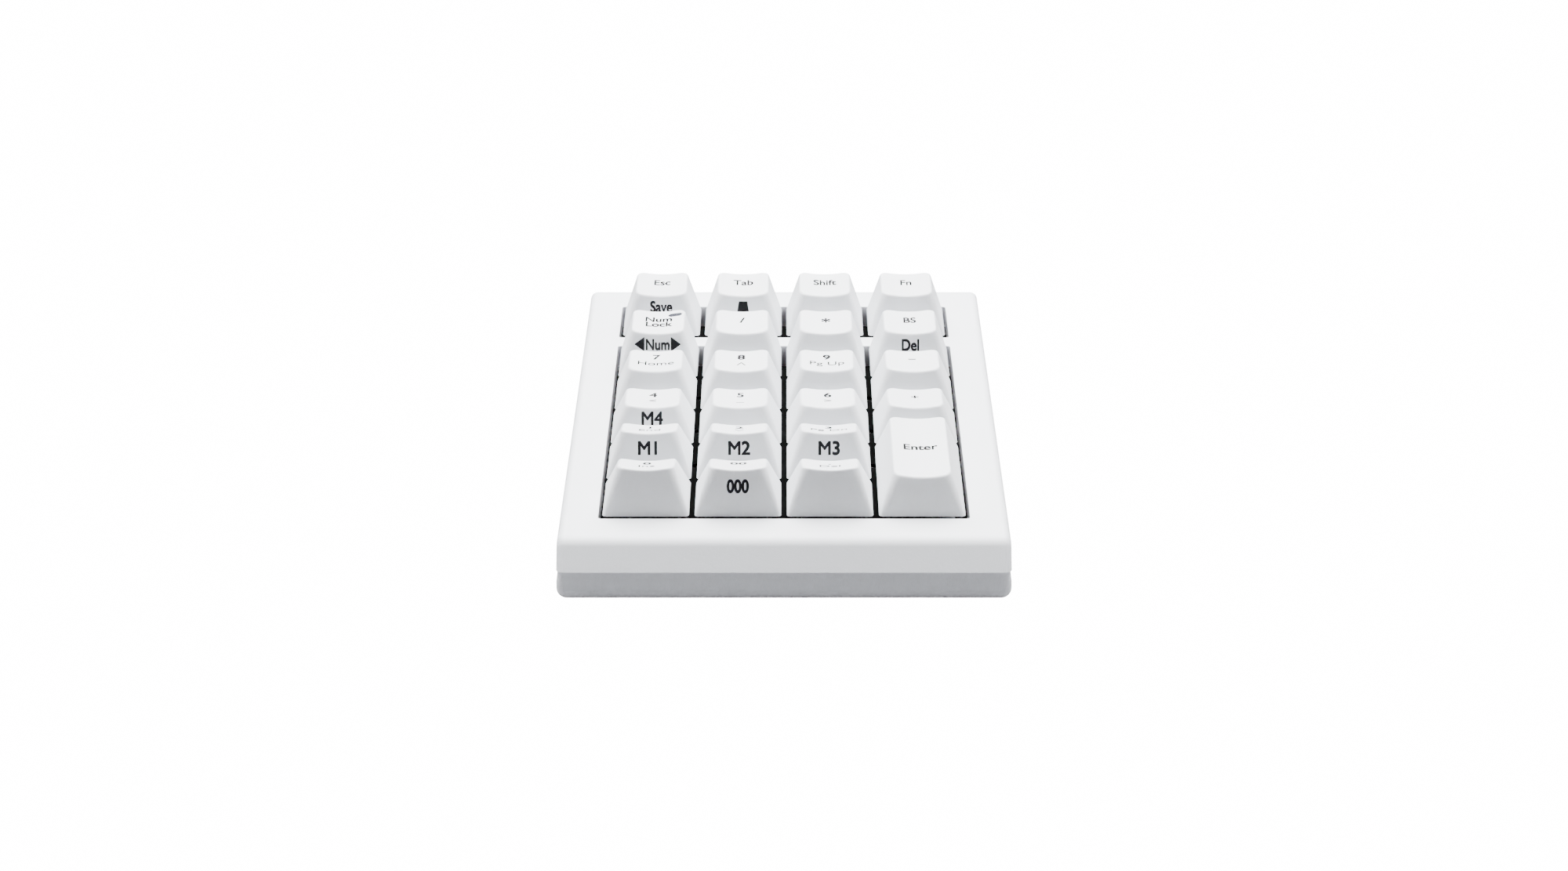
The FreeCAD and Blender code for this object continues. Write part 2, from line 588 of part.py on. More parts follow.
def cap_dish(body, profile, slope, length):
    """The hollow along a cap's top, and its rounded rim."""
    middle = f"((dims.rim_{profile}_back + dims.rim_{profile}_front) / 2)"
    shift = "((dims.cap_front_inset - dims.cap_back_inset) / 2)"
    ring = sketch_on(body, "XZ_Plane", f"{body.Label}_dish_circle", f"-{shift}", middle, slope)
    draw_circles(ring, [("0", DISH_RISE)], "dims.dish_radius")
    return grow(body, "Pocket", f"{body.Label}_dish", ring, f"3 * {length}", both_ways=True)


def on_rim(point, edge, profile):
    """Whether an edge lies round the top of a cap."""
    lowest = min(number(f"dims.rim_{profile}_{side}") for side in ("back", "front"))
    slack = 2 * number(DISH_DEPTH)
    return point.z > lowest - slack and edge.BoundBox.ZMin > lowest - slack


def build_cap(name, profile, x, u):
    """One keycap, seated at its place on the deck."""
    body = new_body(f"keycap_{name}")
    length = f"({CAP_BASE} + dims.key_pitch)" if profile == "enter" else CAP_BASE
    slope = cap_features(body, profile, length)
    if profile == "enter":
        add_hooks(body, profile)
    dish = cap_dish(body, profile, slope, length)
    doc.recompute()
    rim = round_edges(body, f"{body.Label}_rim", dish, "dims.cap_edge_round",
                      lambda point, edge: on_rim(point, edge, profile))
    body.Tip = rim
    on_deck(body, x, u)
    return body


# ---------------------------------------------------------------- Enter key's stabiliser
WIRE_BAR_OUT = f"({TOWER_RADIUS} + dims.wire_tower_gap + dims.wire / 2)"
WIRE_TIP_OUT = f"({WIRE_BAR_OUT} - dims.wire_arm * cos(dims.wire_rise))"
WIRE_TIP_LOW_OUT = f"({WIRE_BAR_OUT} - dims.wire_arm)"
WIRE_TIP_UP = "(-dims.wire_bar_depth + dims.wire_arm * sin(dims.wire_rise))"
HOOK_OUTER = "(dims.wire_half_span - dims.wire / 2 - dims.hook_inset)"
HOOK_SLOT_HALF = "(dims.wire / 2 + dims.hook_gap)"
HOOK_LOW = f"({WIRE_TIP_UP} - {HOOK_SLOT_HALF} - dims.hook_floor)"


def add_hooks(body, profile):
    """Two ribs under the Enter cap, each with a slot for a pin of the wire."""
    x = (f"{WIRE_TIP_LOW_OUT} - {HOOK_SLOT_HALF} - dims.hook_left_rim",
         f"{WIRE_TIP_OUT} + {HOOK_SLOT_HALF} + dims.hook_right_rim")
    reach = f"(dims.rim_{profile}_back + dims.rim_{profile}_front) / 2"
    spans = {"front": (f"-{HOOK_OUTER}", f"-{HOOK_OUTER} + dims.hook_wall"),
             "back": (f"{HOOK_OUTER} - dims.hook_wall", HOOK_OUTER)}
    for side, y in spans.items():
        rib = sketch_on(body, "XY_Plane", f"hook_rib_{side}_foot", HOOK_LOW)
        draw_rectangle(rib, x, y)
        grow(body, "Pad", f"hook_rib_{side}", rib, f"{reach} - dims.hook_root - {HOOK_LOW}")
    slot = sketch_on(body, "XZ_Plane", "hook_slot_outline")
    draw_rectangle(
        slot, (f"{WIRE_TIP_LOW_OUT} - {HOOK_SLOT_HALF}", f"{WIRE_TIP_OUT} + {HOOK_SLOT_HALF}"),
        (f"{WIRE_TIP_UP} - {HOOK_SLOT_HALF}", f"{WIRE_TIP_UP} + {HOOK_SLOT_HALF}"))
    grow(body, "Pocket", "hook_slots", slot, f"2 * {HOOK_OUTER} + 1", both_ways=True)


def build_stabiliser():
    """The bent wire: a bar, two arms and two inward pins, with balls at its bends."""
    radius = "dims.wire / 2"
    bar_x, bar_z = WIRE_BAR_OUT, "-dims.wire_bar_depth"
    pieces = [rod_along("wire_bar", radius, bar_x, ("-dims.wire_half_span", "dims.wire_half_span"), bar_z)]
    for side, sign in (("front", "-"), ("back", "")):
        y = f"{sign}dims.wire_half_span"
        arm = doc.addObject("Part::Cylinder", f"wire_arm_{side}")
        bind(arm, Radius=radius, Height="dims.wire_arm")
        place(arm, bar_x, y, bar_z, "dims.wire_rise - 90", (0, 1, 0))
        pin_end = f"{sign}(dims.wire_half_span - dims.wire_pin)"
        reach = (y, pin_end) if sign else (pin_end, y)
        pieces += [arm, rod_along(f"wire_pin_{side}", radius, WIRE_TIP_OUT, reach, WIRE_TIP_UP)]
        for spot, x, z in (("low", bar_x, bar_z), ("high", WIRE_TIP_OUT, WIRE_TIP_UP)):
            ball = doc.addObject("Part::Sphere", f"wire_bend_{side}_{spot}")
            pieces.append(place(bind(ball, Radius=radius), x, y, z))
    return on_deck(fused("enter_stabiliser", pieces), column_x(COLUMN_COUNT - 1), ENTER_U)


# ---------------------------------------------------------------- switches
def build_plunger():
    """A round slider: neck with a socket for the cap's post, and a wider skirt below."""
    neck = cylinder("plunger_neck", PLUNGER_NECK_RADIUS, (PLUNGER_SKIRT_BOTTOM, "dims.plunger_rise"))
    skirt = cylinder("plunger_skirt", PLUNGER_SKIRT_RADIUS, (PLUNGER_SKIRT_BOTTOM, PLUNGER_SKIRT_TOP))
    socket = cylinder("plunger_socket", "dims.post_radius + dims.post_gap",
                      ("-dims.post_reach - dims.socket_spare", "dims.plunger_rise"))
    return cut("plunger_master", fused("plunger_blank", [neck, skirt]), [socket])


def build_housing(name, extras=(), extra_cuts=()):
    """A switch housing: square flange on the plate, square body below, round tower above."""
    flange_half = f"({HOUSING_HALF} + dims.flange_overhang)"
    span = (f"-{flange_half}", flange_half)
    body_span = (f"-{HOUSING_HALF}", HOUSING_HALF)
    flange = box(f"{name}_flange", span, span, (PLATE_TOP, f"{PLATE_TOP} + dims.flange_wall"))
    lower = box(f"{name}_body", body_span, body_span, (HOUSING_BOTTOM, PLATE_TOP))
    tower = cylinder(f"{name}_tower", TOWER_RADIUS, (PLATE_TOP, TOWER_TOP))
    bore = cylinder(f"{name}_bore", BORE_RADIUS, (HOUSING_BOTTOM, f"{TOWER_TOP} - dims.tower_roof"))
    opening = cylinder(f"{name}_opening", TOWER_OPENING_RADIUS, (PLATE_TOP, TOWER_TOP))
    blank = fused(f"{name}_blank", [flange, lower, tower, *extras])
    return cut(name, blank, [bore, opening, *extra_cuts])


def build_enter_housing():
    """The Enter key's housing, with a side strip and two clips that hold the wire."""
    seat = "(-dims.wire_bar_depth - dims.wire / 2 - dims.overcut)"
    crown = "(-dims.wire_bar_depth + dims.wire / 2 + dims.clip_rim)"
    inner = f"({WIRE_BAR_OUT} - dims.wire - dims.stop_gap)"
    outer = f"({WIRE_BAR_OUT} + dims.clip_rim)"
    reach = "(dims.clip_row + dims.clip_width / 2)"
    strip = box("clip_strip", (f"{TOWER_RADIUS} - dims.clip_strip_root", outer), (f"-{reach}", reach),
                (PLATE_TOP, seat))
    clips, holes = [], []
    for side, y in (("front", "-dims.clip_row"), ("back", "dims.clip_row")):
        half = "dims.clip_width / 2"
        clips.append(box(f"clip_{side}", (inner, outer), (f"{y} - {half}", f"{y} + {half}"), (seat, crown)))
        holes.append(clip_hole(f"clip_hole_{side}", y))
    gap = "(dims.clip_row - dims.clip_width / 2 - dims.overcut)"
    trim = box("clip_trim", (f"{inner} + dims.clip_rim", f"{outer} + dims.clip_rim"), (f"-{gap}", gap),
               (seat, TOWER_TOP))
    guard = cylinder("clip_tower_guard", TOWER_RADIUS, (PLATE_TOP, "0"))
    return build_housing("enter_housing", (strip, *clips), (*holes, cut("clip_trim_clear", trim, [guard])))


def clip_hole(name, y):
    """The hole through a clip for the wire bar."""
    span = (f"{y} - dims.clip_width", f"{y} + dims.clip_width")
    return rod_along(name, "dims.wire / 2 + dims.stop_gap", WIRE_BAR_OUT, span, "-dims.wire_bar_depth")


def build_lit_housing():
    """The Num Lock housing, with a light channel in its corner."""
    channel = cylinder("light_channel", "dims.light_radius", (HOUSING_BOTTOM, "0"),
                       LIGHT_OFFSET, LIGHT_OFFSET)
    return build_housing("lit_housing", (), (channel,))


def build_spring():
    """A conical coil of half turns from its foot on the board to its crown under the dome.

    Each half turn is half a torus tilted about the keypad's Y direction, so that its ends are level
    and each runs on into the next.
    """
    wire = number("dims.spring_wire / 2")
    low = number(SHEET_BOTTOM) + wire
    high = number(f"{DOME_TOP} - dims.dome_wall - dims.spring_crown_gap") - wire
    wide, narrow = number("dims.spring_foot"), number("dims.spring_crown")
    ends = []
    for step in range(SPRING_HALF_TURNS + 1):
        share = step / SPRING_HALF_TURNS
        side = -1 if step % 2 else 1
        ends.append(V(side * (wide + (narrow - wide) * share), 0, low + (high - low) * share))
    halves = []
    for start, finish in zip(ends, ends[1:]):
        axis = V(0, 1, 0).cross(finish - start)
        axis = axis if axis.z > 0 else -axis
        section = Part.Face(Part.Wire(Part.makeCircle(wire, start, V(0, 1, 0))))
        halves.append(section.revolve((start + finish) / 2, axis, 180))
    spring = doc.addObject("Part::Feature", "spring_master")
    spring.Shape = halves[0].multiFuse(halves[1:])
    return spring


def screw_spots():
    """Places of the board screws, where four keys meet."""
    spots = [(f"{side} * dims.key_pitch", f"dims.well_margin_end + {row} * dims.key_pitch")
             for side in (-1, 1) for row in (2, 3, 4)]
    rear = f"{MAIN_WELL_END} + dims.crossbar / 2"
    return spots + [(f"{side} * 1.5 * dims.key_pitch", rear) for side in (-1, 1)]


def key_holes(name, half, z):
    """Square prisms at all the key places."""
    return [
        box(f"{name}_{key}", (f"{x} - {half}", f"{x} + {half}"), (f"{u} - {half}", f"{u} + {half}"), z)
        for key, _, x, u in keys]


def screw_holes(name, radius, z):
    """Round prisms at all the board screws."""
    return [cylinder(f"{name}_{index}", radius, z, x, u) for index, (x, u) in enumerate(screw_spots())]


def build_plate():
    """The steel plate: square cut-outs, and a threaded boss below for each board screw."""
    sheet = box("plate_sheet", (f"-{PLATE_HALF_WIDTH}", PLATE_HALF_WIDTH), (PLATE_FRONT, PLATE_REAR),
                (PLATE_BOTTOM, PLATE_TOP))
    bosses = screw_holes("plate_boss", "dims.board_screw / 2 + dims.thread_wall",
                         (HOUSING_BOTTOM, PLATE_BOTTOM))
    openings = key_holes("plate_cutout", f"({HOUSING_HALF} + dims.cutout_gap)",
                         (f"{PLATE_BOTTOM} - dims.overcut", f"{PLATE_TOP} + dims.overcut"))
    threads = screw_holes("plate_thread", "dims.board_screw / 2",
                          (f"{HOUSING_BOTTOM} - dims.overcut", f"{PLATE_TOP} + dims.overcut"))
    return on_deck(cut("switch_plate", fused("plate_blank", [sheet, *bosses]), openings + threads))


def build_dome_sheet():
    """The rubber sheet: a flat web with a hollow dome in each housing."""
    web = box("sheet_web", BOARD_ACROSS, BOARD_ALONG, (SHEET_BOTTOM, HOUSING_BOTTOM))
    domes, hollows = [], []
    for key, _, x, u in keys:
        domes.append(cone(
            f"dome_{key}", DOME_FOOT_RADIUS, DOME_CROWN_RADIUS, (HOUSING_BOTTOM, DOME_TOP), x, u))
        hollows.append(cone(
            f"dome_hollow_{key}", f"{DOME_FOOT_RADIUS} - dims.dome_wall",
            f"{DOME_CROWN_RADIUS} - dims.dome_wall", (SHEET_BOTTOM, f"{DOME_TOP} - dims.dome_wall"), x, u))
    holes = screw_holes("sheet_hole", "dims.board_screw / 2 + dims.sheet_hole_gap",
                        (f"{SHEET_BOTTOM} - dims.overcut", f"{HOUSING_BOTTOM} + dims.overcut"))
    holes.append(cylinder("sheet_light_hole", "dims.light_radius", (SHEET_BOTTOM, HOUSING_BOTTOM),
                          f"{LIT_X} + {LIGHT_OFFSET}", f"{LIT_U} + {LIGHT_OFFSET}"))
    return on_deck(cut("dome_sheet", fused("sheet_blank", [web, *domes]), hollows + holes))


def build_board():
    """The board with its controller chip, cable header and Num Lock lamp."""
    slab = box("board_slab", BOARD_ACROSS, BOARD_ALONG, (BOARD_BOTTOM, SHEET_BOTTOM))
    holes = screw_holes("board_hole", "dims.board_screw / 2 + dims.screw_gap",
                        (f"{BOARD_BOTTOM} - dims.overcut", f"{SHEET_BOTTOM} + dims.overcut"))
    board = cut("board_drilled", slab, holes)
    chip = centred_box("controller_chip", "0", row_u(CHIP_ROW), "dims.chip_side", "dims.chip_side",
                       (f"{BOARD_BOTTOM} - dims.chip_height", BOARD_BOTTOM))
    header = centred_box("cable_header", "0", HEADER_U, "dims.header_width", "dims.header_length",
                         (f"{BOARD_BOTTOM} - dims.header_height", BOARD_BOTTOM))
    lamp = centred_box("num_lock_lamp", f"({LIT_X} + {LIGHT_OFFSET})", f"({LIT_U} + {LIGHT_OFFSET})",
                       "dims.lamp_width", "dims.lamp_length",
                       (SHEET_BOTTOM, f"{SHEET_BOTTOM} + dims.lamp_height"))
    group = doc.addObject("Part::Compound", "circuit_board")
    group.Links = [board, chip, header, lamp]
    return on_deck(group)


# ---------------------------------------------------------------- case
def build_upper_case():
    """The upper shell: a wedge, hollow below, with two wells, their skirts and four bosses."""
    body = new_body("upper_case")
    side = sketch_on(body, "YZ_Plane", "case_side")
    draw_polygon(side, [
        (f"-{HALF_LENGTH}", "dims.seam_height"), (FOLD_Y, "dims.fold_height"),
        (f"{FOLD_Y} + {DECK_RUN}", REAR_HEIGHT), (HALF_LENGTH, "dims.seam_height")])
    wedge = grow(body, "Pad", "case_wedge", side, f"2 * {HALF_WIDTH}", both_ways=True)
    doc.recompute()

    seam = number("dims.seam_height") + SLACK
    shell = body.newObject("PartDesign::Thickness", "case_shell")
    shell.Base = (wedge, [f"Face{index}" for index, face in enumerate(wedge.Shape.Faces, start=1)
                          if face.CenterOfMass.z < seam])
    shell.setExpression("Value", "dims.case_wall")
    shell.Reversed = True
    shell.Join = "Intersection"

    fold, rear, half = number("dims.fold_height"), number(REAR_HEIGHT), number(HALF_WIDTH)
    fold_y = number(FOLD_Y)
    front_round = round_edges(body, "fold_rounding", shell, "dims.fold_round", lambda point, edge: (
        abs(point.x) < SLACK and abs(point.z - fold) < SLACK and abs(point.y - fold_y) < SLACK))
    rear_round = round_edges(body, "rear_rounding", front_round, "dims.edge_round", lambda point, edge: (
        abs(point.x) < SLACK and abs(point.z - rear) < SLACK))
    body.Tip = round_edges(body, "side_rounding", rear_round, "dims.edge_round", lambda point, edge: (
        abs(abs(point.x) - half) < SLACK and point.z > seam and edge.BoundBox.XLength < SLACK))

    skirt = sketch_on(body, "XY_Plane", "skirt_outline", f"{DECK_Z} + {PLATE_TOP} * cos(dims.deck_tilt)",
                      f"{DECK_Y} - {PLATE_TOP} * sin(dims.deck_tilt)", "dims.deck_tilt")
    outer = f"({WELL_HALF_WIDTH} + dims.skirt_wall)"
    draw_rectangle(skirt, (f"-{outer}", outer), ("-dims.skirt_wall", f"{TOP_WELL_END} + dims.skirt_wall"))
    grow(body, "Pad", "well_skirts", skirt, "dims.skirt_depth - dims.meld")
    for name, start, end in (("main_well", "0", MAIN_WELL_END), ("top_well", TOP_WELL_START, TOP_WELL_END)):
        well = sketch_on(body, "XY_Plane", f"{name}_outline", DECK_Z, DECK_Y, "dims.deck_tilt")
        draw_rounded_rectangle(
            well, (f"-{WELL_HALF_WIDTH}", WELL_HALF_WIDTH), (start, end), "dims.well_round")
        grow(body, "Pocket", name, well, "2 * (dims.skirt_depth + dims.meld)", both_ways=True)

    for name, y, height in (("front_bosses", BOSS_FRONT_Y, DECK_Z),
                            ("rear_bosses", BOSS_REAR_Y, REAR_HEIGHT)):
        spots = [("-dims.boss_column", y), ("dims.boss_column", y)]
        bosses = sketch_on(body, "XY_Plane", f"{name}_outline", "dims.seam_height")
        draw_circles(bosses, spots, "dims.boss_radius")
        grow(body, "Pad", name, bosses, f"{height} - dims.seam_height - dims.case_wall")
        pilots = sketch_on(body, "XY_Plane", f"{name}_pilot_outline", "dims.seam_height")
        draw_circles(pilots, spots, "dims.case_screw / 2")
        grow(body, "Pocket", f"{name}_pilots", pilots,
             f"{SCREW_SEAT} + dims.case_screw_length + dims.pilot_spare - dims.seam_height", reverse=True)

    outlet = sketch_on(body, "XY_Plane", "outlet_outline", "dims.seam_height")
    draw_rectangle(outlet, ("-dims.outlet_width / 2", "dims.outlet_width / 2"),
                   (f"{LIP_REAR} - dims.meld", f"{HALF_LENGTH} + dims.case_wall"))
    body.Tip = grow(body, "Pocket", "cable_outlet", outlet, "dims.outlet_height", reverse=True)
    return body


def build_lower_case():
    """The tray: rounded floor, walls that lean in to the seam, locating lip and screw bosses."""
    body = new_body("lower_case")
    across, along = (f"-{HALF_WIDTH}", HALF_WIDTH), (f"-{HALF_LENGTH}", HALF_LENGTH)
    outline = sketch_on(body, "XY_Plane", "tray_outline", "dims.foot_proud")
    draw_rounded_rectangle(outline, across, along, "dims.edge_round")
    grow(body, "Pad", "tray_block", outline, "dims.shoulder_height - dims.foot_proud")
    shoulder = sketch_on(body, "XY_Plane", "shoulder_outline", "dims.shoulder_height")
    draw_rounded_rectangle(shoulder, across, along, "dims.edge_round")
    rim = sketch_on(body, "XY_Plane", "rim_outline", "dims.seam_height")
    draw_rounded_rectangle(
        rim, (f"-{HALF_WIDTH} + dims.seam_step", f"{HALF_WIDTH} - dims.seam_step"),
        (f"-{HALF_LENGTH} + dims.seam_step", f"{HALF_LENGTH} - dims.seam_step"),
        "dims.edge_round - dims.seam_step")
    leaning = loft(body, "AdditiveLoft", "tray_shoulder", shoulder, rim)
    low = number("dims.foot_proud") + SLACK
    round_edges(body, "tray_rounding", leaning, "dims.tray_round",
                lambda point, edge: edge.BoundBox.ZMax < low)
    inner = (f"({HALF_WIDTH} - dims.tray_wall)", f"({HALF_LENGTH} - dims.tray_wall)")
    room = (f"-{inner[0]}", inner[0]), (f"-{inner[1]}", inner[1])
    hollow = sketch_on(body, "XY_Plane", "tray_hollow_outline", TRAY_FLOOR_TOP)
    draw_rectangle(hollow, *room)
    grow(body, "Pocket", "tray_hollow", hollow, "dims.seam_height", reverse=True)

    ledge = sketch_on(body, "XY_Plane", "ledge_outline", "dims.seam_height - dims.lip_ledge")
    draw_rectangle(ledge, *room)
    grow(body, "Pad", "lip_ledge", ledge, "dims.lip_ledge")
    lip = sketch_on(body, "XY_Plane", "lip_outline", "dims.seam_height")
    draw_rectangle(lip, (f"-{LIP_HALF_WIDTH}", LIP_HALF_WIDTH), (f"-{LIP_FRONT}", LIP_REAR))
    grow(body, "Pad", "lip_block", lip, "dims.lip_rise")
    bore = sketch_on(body, "XY_Plane", "lip_bore_outline", TRAY_FLOOR_TOP)
    draw_rectangle(bore, (f"-{LIP_HALF_WIDTH} + dims.lip_wall", f"{LIP_HALF_WIDTH} - dims.lip_wall"),
                   (f"-{LIP_FRONT} + dims.lip_wall", f"{LIP_REAR} - dims.lip_wall"))
    grow(body, "Pocket", "lip_bore", bore, "dims.seam_height + dims.lip_rise", reverse=True)
    notch = sketch_on(body, "XY_Plane", "lip_notch_outline", "dims.seam_height")
    draw_rectangle(notch, ("-dims.outlet_width / 2", "dims.outlet_width / 2"),
                   (f"{LIP_REAR} - 2 * dims.lip_wall", f"{LIP_REAR} + dims.overcut"))
    grow(body, "Pocket", "lip_notch", notch, "dims.lip_rise + dims.overcut", reverse=True)
    gap = sketch_on(body, "XY_Plane", "lip_boss_outline", "dims.seam_height")
    draw_circles(gap, [(f"{side}dims.boss_column", BOSS_REAR_Y) for side in ("-", "")],
                 "dims.boss_radius + dims.fit_gap")
    grow(body, "Pocket", "lip_boss_gaps", gap, "dims.lip_rise + dims.overcut", reverse=True)

    spots = [(f"{side}dims.boss_column", y) for side in ("-", "") for y in (BOSS_FRONT_Y, BOSS_REAR_Y)]
    bosses = sketch_on(body, "XY_Plane", "tray_boss_outline", "dims.foot_proud")
    head = "(dims.case_screw_head / 2 + dims.screw_gap)"
    draw_circles(bosses, spots, f"{head} + dims.head_wall")
    grow(body, "Pad", "tray_bosses", bosses, "dims.seam_height - dims.foot_proud")
    shanks = sketch_on(body, "XY_Plane", "tray_shank_outline", "dims.foot_proud")
    draw_circles(shanks, spots, "dims.case_screw / 2 + dims.screw_gap")
    grow(body, "Pocket", "tray_shanks", shanks, "dims.seam_height", reverse=True)
    heads = sketch_on(body, "XY_Plane", "tray_head_outline", "dims.foot_proud")
    draw_circles(heads, spots, head)
    grow(body, "Pocket", "tray_heads", heads, "dims.head_recess", reverse=True)
    seats = sketch_on(body, "XY_Plane", "foot_seat_outline", "dims.foot_proud")
    draw_circles(seats, foot_spots(), "dims.foot_radius + dims.foot_gap")
    body.Tip = grow(body, "Pocket", "foot_seats", seats, "dims.foot_seat", reverse=True)
    return body


def foot_spots():
    """Centres of the rubber feet."""
    return [(f"{side}dims.foot_column_{end}", f"{'-' if end == 'front' else ''}{FOOT_Y}")
            for side in ("-", "") for end in ("front", "rear")]


def finish_lower_case(tray):
    """Add the leg recesses and the posts, which carry the tilted board on the tray's floor."""
    wall = "dims.recess_wall"
    x_in, x_out = f"dims.leg_column - {RECESS_HALF_WIDTH}", f"dims.leg_column + {RECESS_HALF_WIDTH}"
    shell = box("recess_block", (f"{x_in} - {wall}", f"{x_out} + {wall}"),
                (f"{RECESS_FRONT_Y} - {wall}", f"{RECESS_REAR_Y} + {wall}"),
                ("dims.foot_proud + dims.meld", f"{RECESS_TOP} + {wall}"))
    space = box("recess_space", (x_in, x_out), (RECESS_FRONT_Y, RECESS_REAR_Y),
                ("dims.foot_proud - dims.overcut", RECESS_TOP))
    reach = "dims.leg_pin_length - dims.leg_gap + dims.overcut"
    pins = rod_across("recess_pin_holes", "dims.leg_pin_radius + dims.leg_pin_gap",
                      (f"{x_in} - ({reach})", f"{x_out} + {reach}"), LEG_PIVOT_Y, LEG_PIVOT_Z)
    blocks = mirrored_pair("recess_blocks", [shell])
    spaces = mirrored_pair("recess_spaces", [space, pins])

    spots = [(f"{column} * dims.key_pitch", row_u(1)) for column in FRONT_POSTS]
    spots += [(f"{column} * dims.key_pitch", row_u(POST_ROW)) for column in REAR_POSTS]
    spots.append(("0", f"{TOP_WELL_START} + {LAST_POST} * dims.key_pitch"))
    tall = (f"{TRAY_FLOOR_TOP} - dims.meld", REAR_HEIGHT)
    posts = [cylinder(f"post_{index}", "dims.post_thickness / 2", tall, x, f"{DECK_Y} + {u}")
             for index, (x, u) in enumerate(spots)]
    above = doc.addObject("Part::Compound", "post_trim")
    above.Links = [box("post_trim_block", (f"-{HALF_WIDTH}", HALF_WIDTH),
                       ("-2 * dims.border_front", DECK_LENGTH), (BOARD_BOTTOM, REAR_HEIGHT))]
    trimmed = cut("posts_trimmed", fused("posts_raw", posts), [on_deck(above)])
    return cut("lower_case_shell", fused("lower_case_filled", [tray, *blocks, trimmed]), spaces)


def build_screw(name, thread, head, length, head_height):
    """A pan-head screw with a cross recess, head down, its seat at the origin."""
    cap = cone(f"{name}_cap", f"{head} / 2 - dims.head_bevel", f"{head} / 2", (f"-{head_height}", "0"))
    thick = f"{thread} / 2 - dims.thread_slack"
    shank = cylinder(f"{name}_shank", thick, ("0", f"{length} - dims.screw_tip"))
    tip = cone(f"{name}_tip", thick, f"{thread} / 4", (f"{length} - dims.screw_tip", length))
    slot = (f"-{head} / 4", f"{head} / 4")
    thin = ("-dims.cross_width / 2", "dims.cross_width / 2")
    deep = (f"-{head_height}", f"-{head_height} / 3")
    cross = [box(f"{name}_slot_a", slot, thin, deep), box(f"{name}_slot_b", thin, slot, deep)]
    return cut(name, fused(f"{name}_blank", [cap, shank, tip]), cross)


def build_leg():
    """A flat leg with a rounded heel round its pivot stubs, drawn stowed, tip forward."""
    half, side = "dims.leg_thickness / 2", "dims.leg_width / 2"
    heel = rod_across("leg_heel", half, (f"-{side}", side), "0", "0")
    blade = box("leg_blade", (f"-{side}", side), ("-dims.leg_length", "0"), (f"-{half}", half))
    stubs = rod_across("leg_stubs", "dims.leg_pin_radius",
                       (f"-{side} - dims.leg_pin_length", f"{side} + dims.leg_pin_length"), "0", "0")
    relief = box("leg_relief", (f"-{side} + dims.leg_side_rim", f"{side} - dims.leg_side_rim"),
                 ("-dims.leg_length + dims.leg_tip_rim", "-dims.leg_heel_rim"),
                 (f"dims.leg_web - {half}", half))
    return cut("leg_master", fused("leg_blank", [heel, blade, stubs]), [relief])


def build_foot():
    """A rubber foot, its lower edge bevelled."""
    bevel = cone("foot_bevel", "dims.foot_radius - dims.foot_bevel", "dims.foot_radius",
                 ("0", "dims.foot_bevel"))
    drum = cylinder("foot_drum", "dims.foot_radius",
                    ("dims.foot_bevel", "dims.foot_proud + dims.foot_seat"))
    return fused("foot_master", [bevel, drum])


def oval(name, spare):
    """An upright oval prism through the Num Lock cap's top, larger by a spare all round."""
    radius = f"(dims.window_width / 2 + {spare})"
    reach = "(dims.window_length / 2 - dims.window_width / 2)"
    tall = ("dims.rim_second_back / 2", "2 * dims.rim_second_back")
    left = cylinder(f"{name}_left", radius, tall, f"dims.window_column - {reach}", "dims.window_row")
    right = cylinder(f"{name}_right", radius, tall, f"dims.window_column + {reach}", "dims.window_row")
    middle = box(f"{name}_middle", (f"dims.window_column - {reach}", f"dims.window_column + {reach}"),
                 (f"dims.window_row - {radius}", f"dims.window_row + {radius}"), tall)
    return on_deck(fused(name, [left, right, middle]), LIT_X, LIT_U)


def named_copy(label, source, x="0", y="0", z="0", deck=False):
    """A sub-part with the source's shape, bound to its own place."""
    doc.recompute()
    part = doc.addObject("Part::Feature", label)
    part.Shape = source.Shape.copy()
    part.Label = label
    if deck:
        on_deck(part, x, y)
    else:
        place(part, x, y, z)
    return part


# ---------------------------------------------------------------- assembly
caps = {name: build_cap(name, profile, x, u) for name, profile, x, u in keys}
plunger = build_plunger()
plungers = [named_copy(f"plunger_{name}", plunger, x, u, deck=True) for name, _, x, u in keys]

housing_kinds = {"enter": build_enter_housing(), "num_lock": build_lit_housing()}
plain_housing = build_housing("plain_housing")
spring_master = build_spring()
doc.recompute()
housing_solids = []
for name, _, x, u in keys:
    solid = housing_kinds.get(name, plain_housing).Shape.copy()
    solid.Placement = deck_spot(number(x), number(u))
    housing_solids.append(solid)
housings = doc.addObject("Part::Feature", "switch_housings")
housings.Shape = Part.makeCompound(housing_solids)
springs = copies("cone_springs", spring_master, [deck_spot(number(x), number(u)) for _, _, x, u in keys])

plate = build_plate()
sheet = build_dome_sheet()
board = build_board()
stabiliser = build_stabiliser()
upper = build_upper_case()
lower = finish_lower_case(build_lower_case())
doc.recompute()

# The window is cut through the Num Lock cap, and the lens is what the cap's top had there.
window = oval("window_cut", "0")
glass = oval("lens_blank", "-dims.lens_gap")
windowed = cut("num_lock_cap", caps["num_lock"], [window])
lens = doc.addObject("Part::Common", "lens")
lens.Base = caps["num_lock"]
lens.Tool = glass
doc.recompute()

